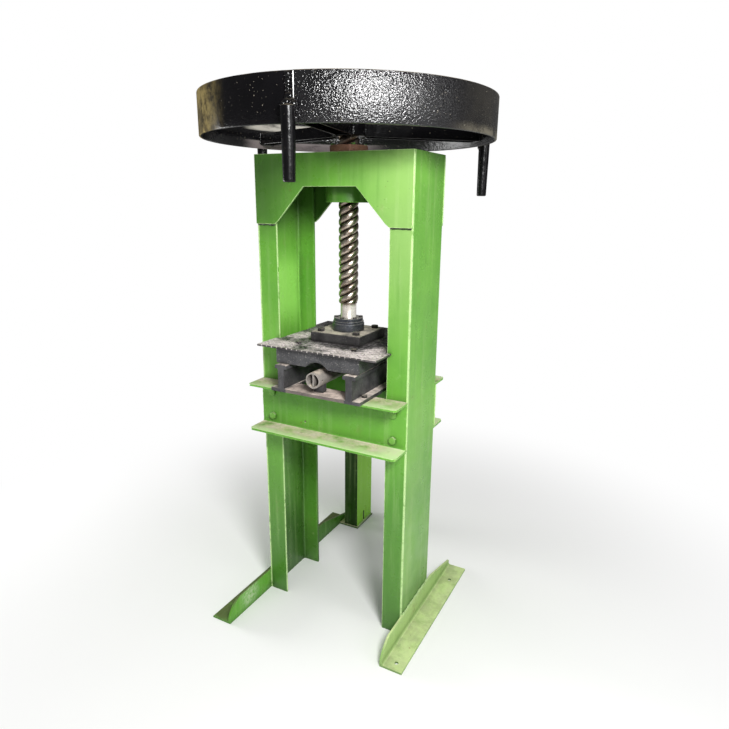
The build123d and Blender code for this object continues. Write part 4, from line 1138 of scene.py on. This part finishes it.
def spoke_welds(runs, out, across, index):
    """The runs round a spoke's ends, at the hub and at the rim."""
    low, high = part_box("front_spoke")
    side = SPOKE_HALF_WIDTH + 1.5 * MM
    for radius, size in ((HUB_RADIUS + 2 * MM, 4.5 * MM), (RIM_INNER - 2 * MM, 4.0 * MM)):

        def on_circle(s):
            return out * sqrt(radius ** 2 - s ** 2) + across * s

        for z in (low.z + 1 * MM, high.z):
            ends = [on_circle(s) for s in (-SPOKE_HALF_WIDTH, 0, SPOKE_HALF_WIDTH)]
            runs.line([(p.x, p.y, z) for p in ends], size, seed=index + 10 * z, ragged=0.3)
        for s in (-side, side):
            p = on_circle(s)
            runs.upright(p.x, p.y, low.z, high.z, size, seed=index + 30 * s, ragged=0.3)


def handle_welds(runs, out, across, index, top):
    """The runs and lumps that hold a handle's top to the rim."""
    for s in (-1, 1):
        p = out * (RIM_OUTER + 3 * MM) + across * s * 17 * MM
        line = [(p.x, p.y, top - drop * MM) for drop in (40, 20, 3)]
        runs.line(line, 6.0 * MM, seed=40 + index + s, ragged=0.35)
    for k in range(7):
        lump = out * (RIM_OUTER + (15 - 3 * (k % 2)) * MM) + across * (k - 3) * 4.5 * MM
        lump.z = top + (1 + 3 * (k % 3)) * MM
        runs.blob(lump, (11 * MM, 11 * MM, 11 * MM), seed=60 + 7 * index + k)
    for k in range(4):
        lump = out * (RIM_OUTER + 5 * MM) + across * (15 - 10 * (k % 2)) * MM
        lump.z = top - (6 + 13 * k) * MM
        runs.blob(lump, (8 * MM, 8 * MM, 9 * MM), seed=80 + 5 * index + k)


def seam_lumps(runs):
    """Lumps of weld up the rim's seam."""
    for k in range(11):
        bearing = SEAM_BEARING - radians(1.9 + 1.0 * noise.noise(Vector((k * 1.3, 2, 0))))
        p = outward(bearing) * (RIM_OUTER - 0.5 * MM)
        size = (6.5 + 3.5 * noise.noise(Vector((k * 2.1, 7, 1)))) * MM
        runs.blob((p.x, p.y, RIM_LOW.z + (30 + 8.8 * k) * MM), (1.6 * size, size, 1.3 * size), seed=90 + k)


def make_wheel_welds():
    """Lumpy black runs at the hub, the rim, the handles and the seam."""
    runs = Beads()
    for index, (place, bearing) in enumerate(ARM_BEARINGS.items()):
        out = outward(bearing)
        across = Vector((-out.y, out.x, 0))
        spoke_welds(runs, out, across, index)
        handle_welds(runs, out, across, index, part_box(f"{place}_handle")[1].z)
    seam_lumps(runs)
    runs.finish("wheel_welds", "screw", "black_paint", "weld_black")


def make_seam_edge():
    """The edge of the lapped seam, which leans near the rim's foot: bare steel with a painted highlight."""
    seam = Beads()
    radius = RIM_OUTER - 0.6 * MM
    line = []
    for share in (0.02, 0.10, 0.22, 0.5, 0.8, 0.98):
        bearing = SEAM_BEARING - SEAM_LEAN * max(0.0, 1 - share / SEAM_LEAN_SHARE)
        z = RIM_LOW.z + share * (RIM_HIGH.z - RIM_LOW.z)
        line.append((radius * cos(bearing), radius * sin(bearing), z))
    seam.line(line, SEAM_WIDTH / 2, seed=5, ragged=0.12)
    seam.finish("rim_seam_edge", "screw", "black_paint", "bare_edge_and_highlight")


def make_floor():
    """A pale floor that the camera sees as white further out."""
    mesh = bpy.data.meshes.new("floor_mesh")
    corners = [(x * FLOOR_REACH, y * FLOOR_REACH, 0) for x, y in ((-1, -1), (1, -1), (1, 1), (-1, 1))]
    mesh.from_pydata(corners, [], [(0, 1, 2, 3)])
    floor = new_object("floor", mesh)
    m = Material("floor")
    m.colour = m.mix(m.noise(1.5, 3.0), (0.88, 0.88, 0.87), (0.92, 0.92, 0.91))
    m.finish(0.8)
    away = m.node("VectorMath", {0: m.place}, operation="LENGTH").outputs["Value"]
    seen = m.node("LightPath", {}).outputs["Is Camera Ray"]
    white = m.node("Emission", {"Color": WHITE, "Strength": 1.0}).outputs[0]
    share = m.times(m.span(away, *FLOOR_FADE), seen)
    blend = m.node("MixShader", {0: share, 1: m.shader.outputs[0], 2: white})
    output = m.tree.nodes["Material Output"]
    m.tree.links.new(blend.outputs[0], output.inputs["Surface"])
    mesh.materials.append(m.data)


def make_surroundings():
    """White where the camera sees them, and dimmer as they light and mirror."""
    world = bpy.data.worlds.new("studio")
    bpy.context.scene.world = world
    world.use_nodes = True
    tree = world.node_tree
    tree.nodes.clear()
    path = add_node(tree, "LightPath", {})
    level = DIFFUSE_SKY
    for ray, share in (("Is Camera Ray", 1 - DIFFUSE_SKY), ("Is Glossy Ray", GLOSSY_SKY - DIFFUSE_SKY)):
        terms = {0: path.outputs[ray], 1: share, 2: level}
        level = add_node(tree, "Math", terms, operation="MULTIPLY_ADD").outputs[0]
    background = add_node(tree, "Background", {"Color": WHITE, "Strength": level})
    add_node(tree, "OutputWorld", {"Surface": background.outputs[0]})


def place_lamps():
    for name, place, size, power in LAMPS:
        lamp = bpy.data.lights.new(name, "AREA")
        lamp.shape = "DISK"
        lamp.size = size
        lamp.energy = power
        holder = new_object(name, lamp)
        holder.location = place
        aim = LAMP_AIM - Vector(place)
        holder.rotation_euler = aim.to_track_quat("-Z", "Y").to_euler()


def place_camera():
    ahead = Vector((
        -sin(CAMERA_AZIMUTH) * cos(CAMERA_DOWN),
        cos(CAMERA_AZIMUTH) * cos(CAMERA_DOWN),
        -sin(CAMERA_DOWN),
    ))
    right = Vector((cos(CAMERA_AZIMUTH), sin(CAMERA_AZIMUTH), 0))
    up = right.cross(ahead)
    rolled_right = right * cos(CAMERA_ROLL) + up * sin(CAMERA_ROLL)
    rolled_up = up * cos(CAMERA_ROLL) - right * sin(CAMERA_ROLL)
    data = bpy.data.cameras.new("camera")
    data.sensor_width = SENSOR_MM
    data.lens = SENSOR_MM * FOCAL_PIXELS / PHOTO_PIXELS
    camera = new_object("camera", data)
    turn = Matrix((rolled_right, rolled_up, -ahead)).transposed()
    camera.matrix_world = Matrix.Translation(CAMERA_PLACE) @ turn.to_4x4()
    bpy.context.scene.camera = camera


make_screw()
for node in sorted(frame["nodes"]):
    if node not in ("screw", "wheel_rim", "guide_plate"):
        dress(node)
make_rim()
make_chequer_plate()
make_drips()
make_head_undercut()
make_frame_welds()
make_wheel_welds()
make_seam_edge()
make_floor()
make_surroundings()
place_lamps()
place_camera()
bpy.context.scene.view_settings.view_transform = "Standard"
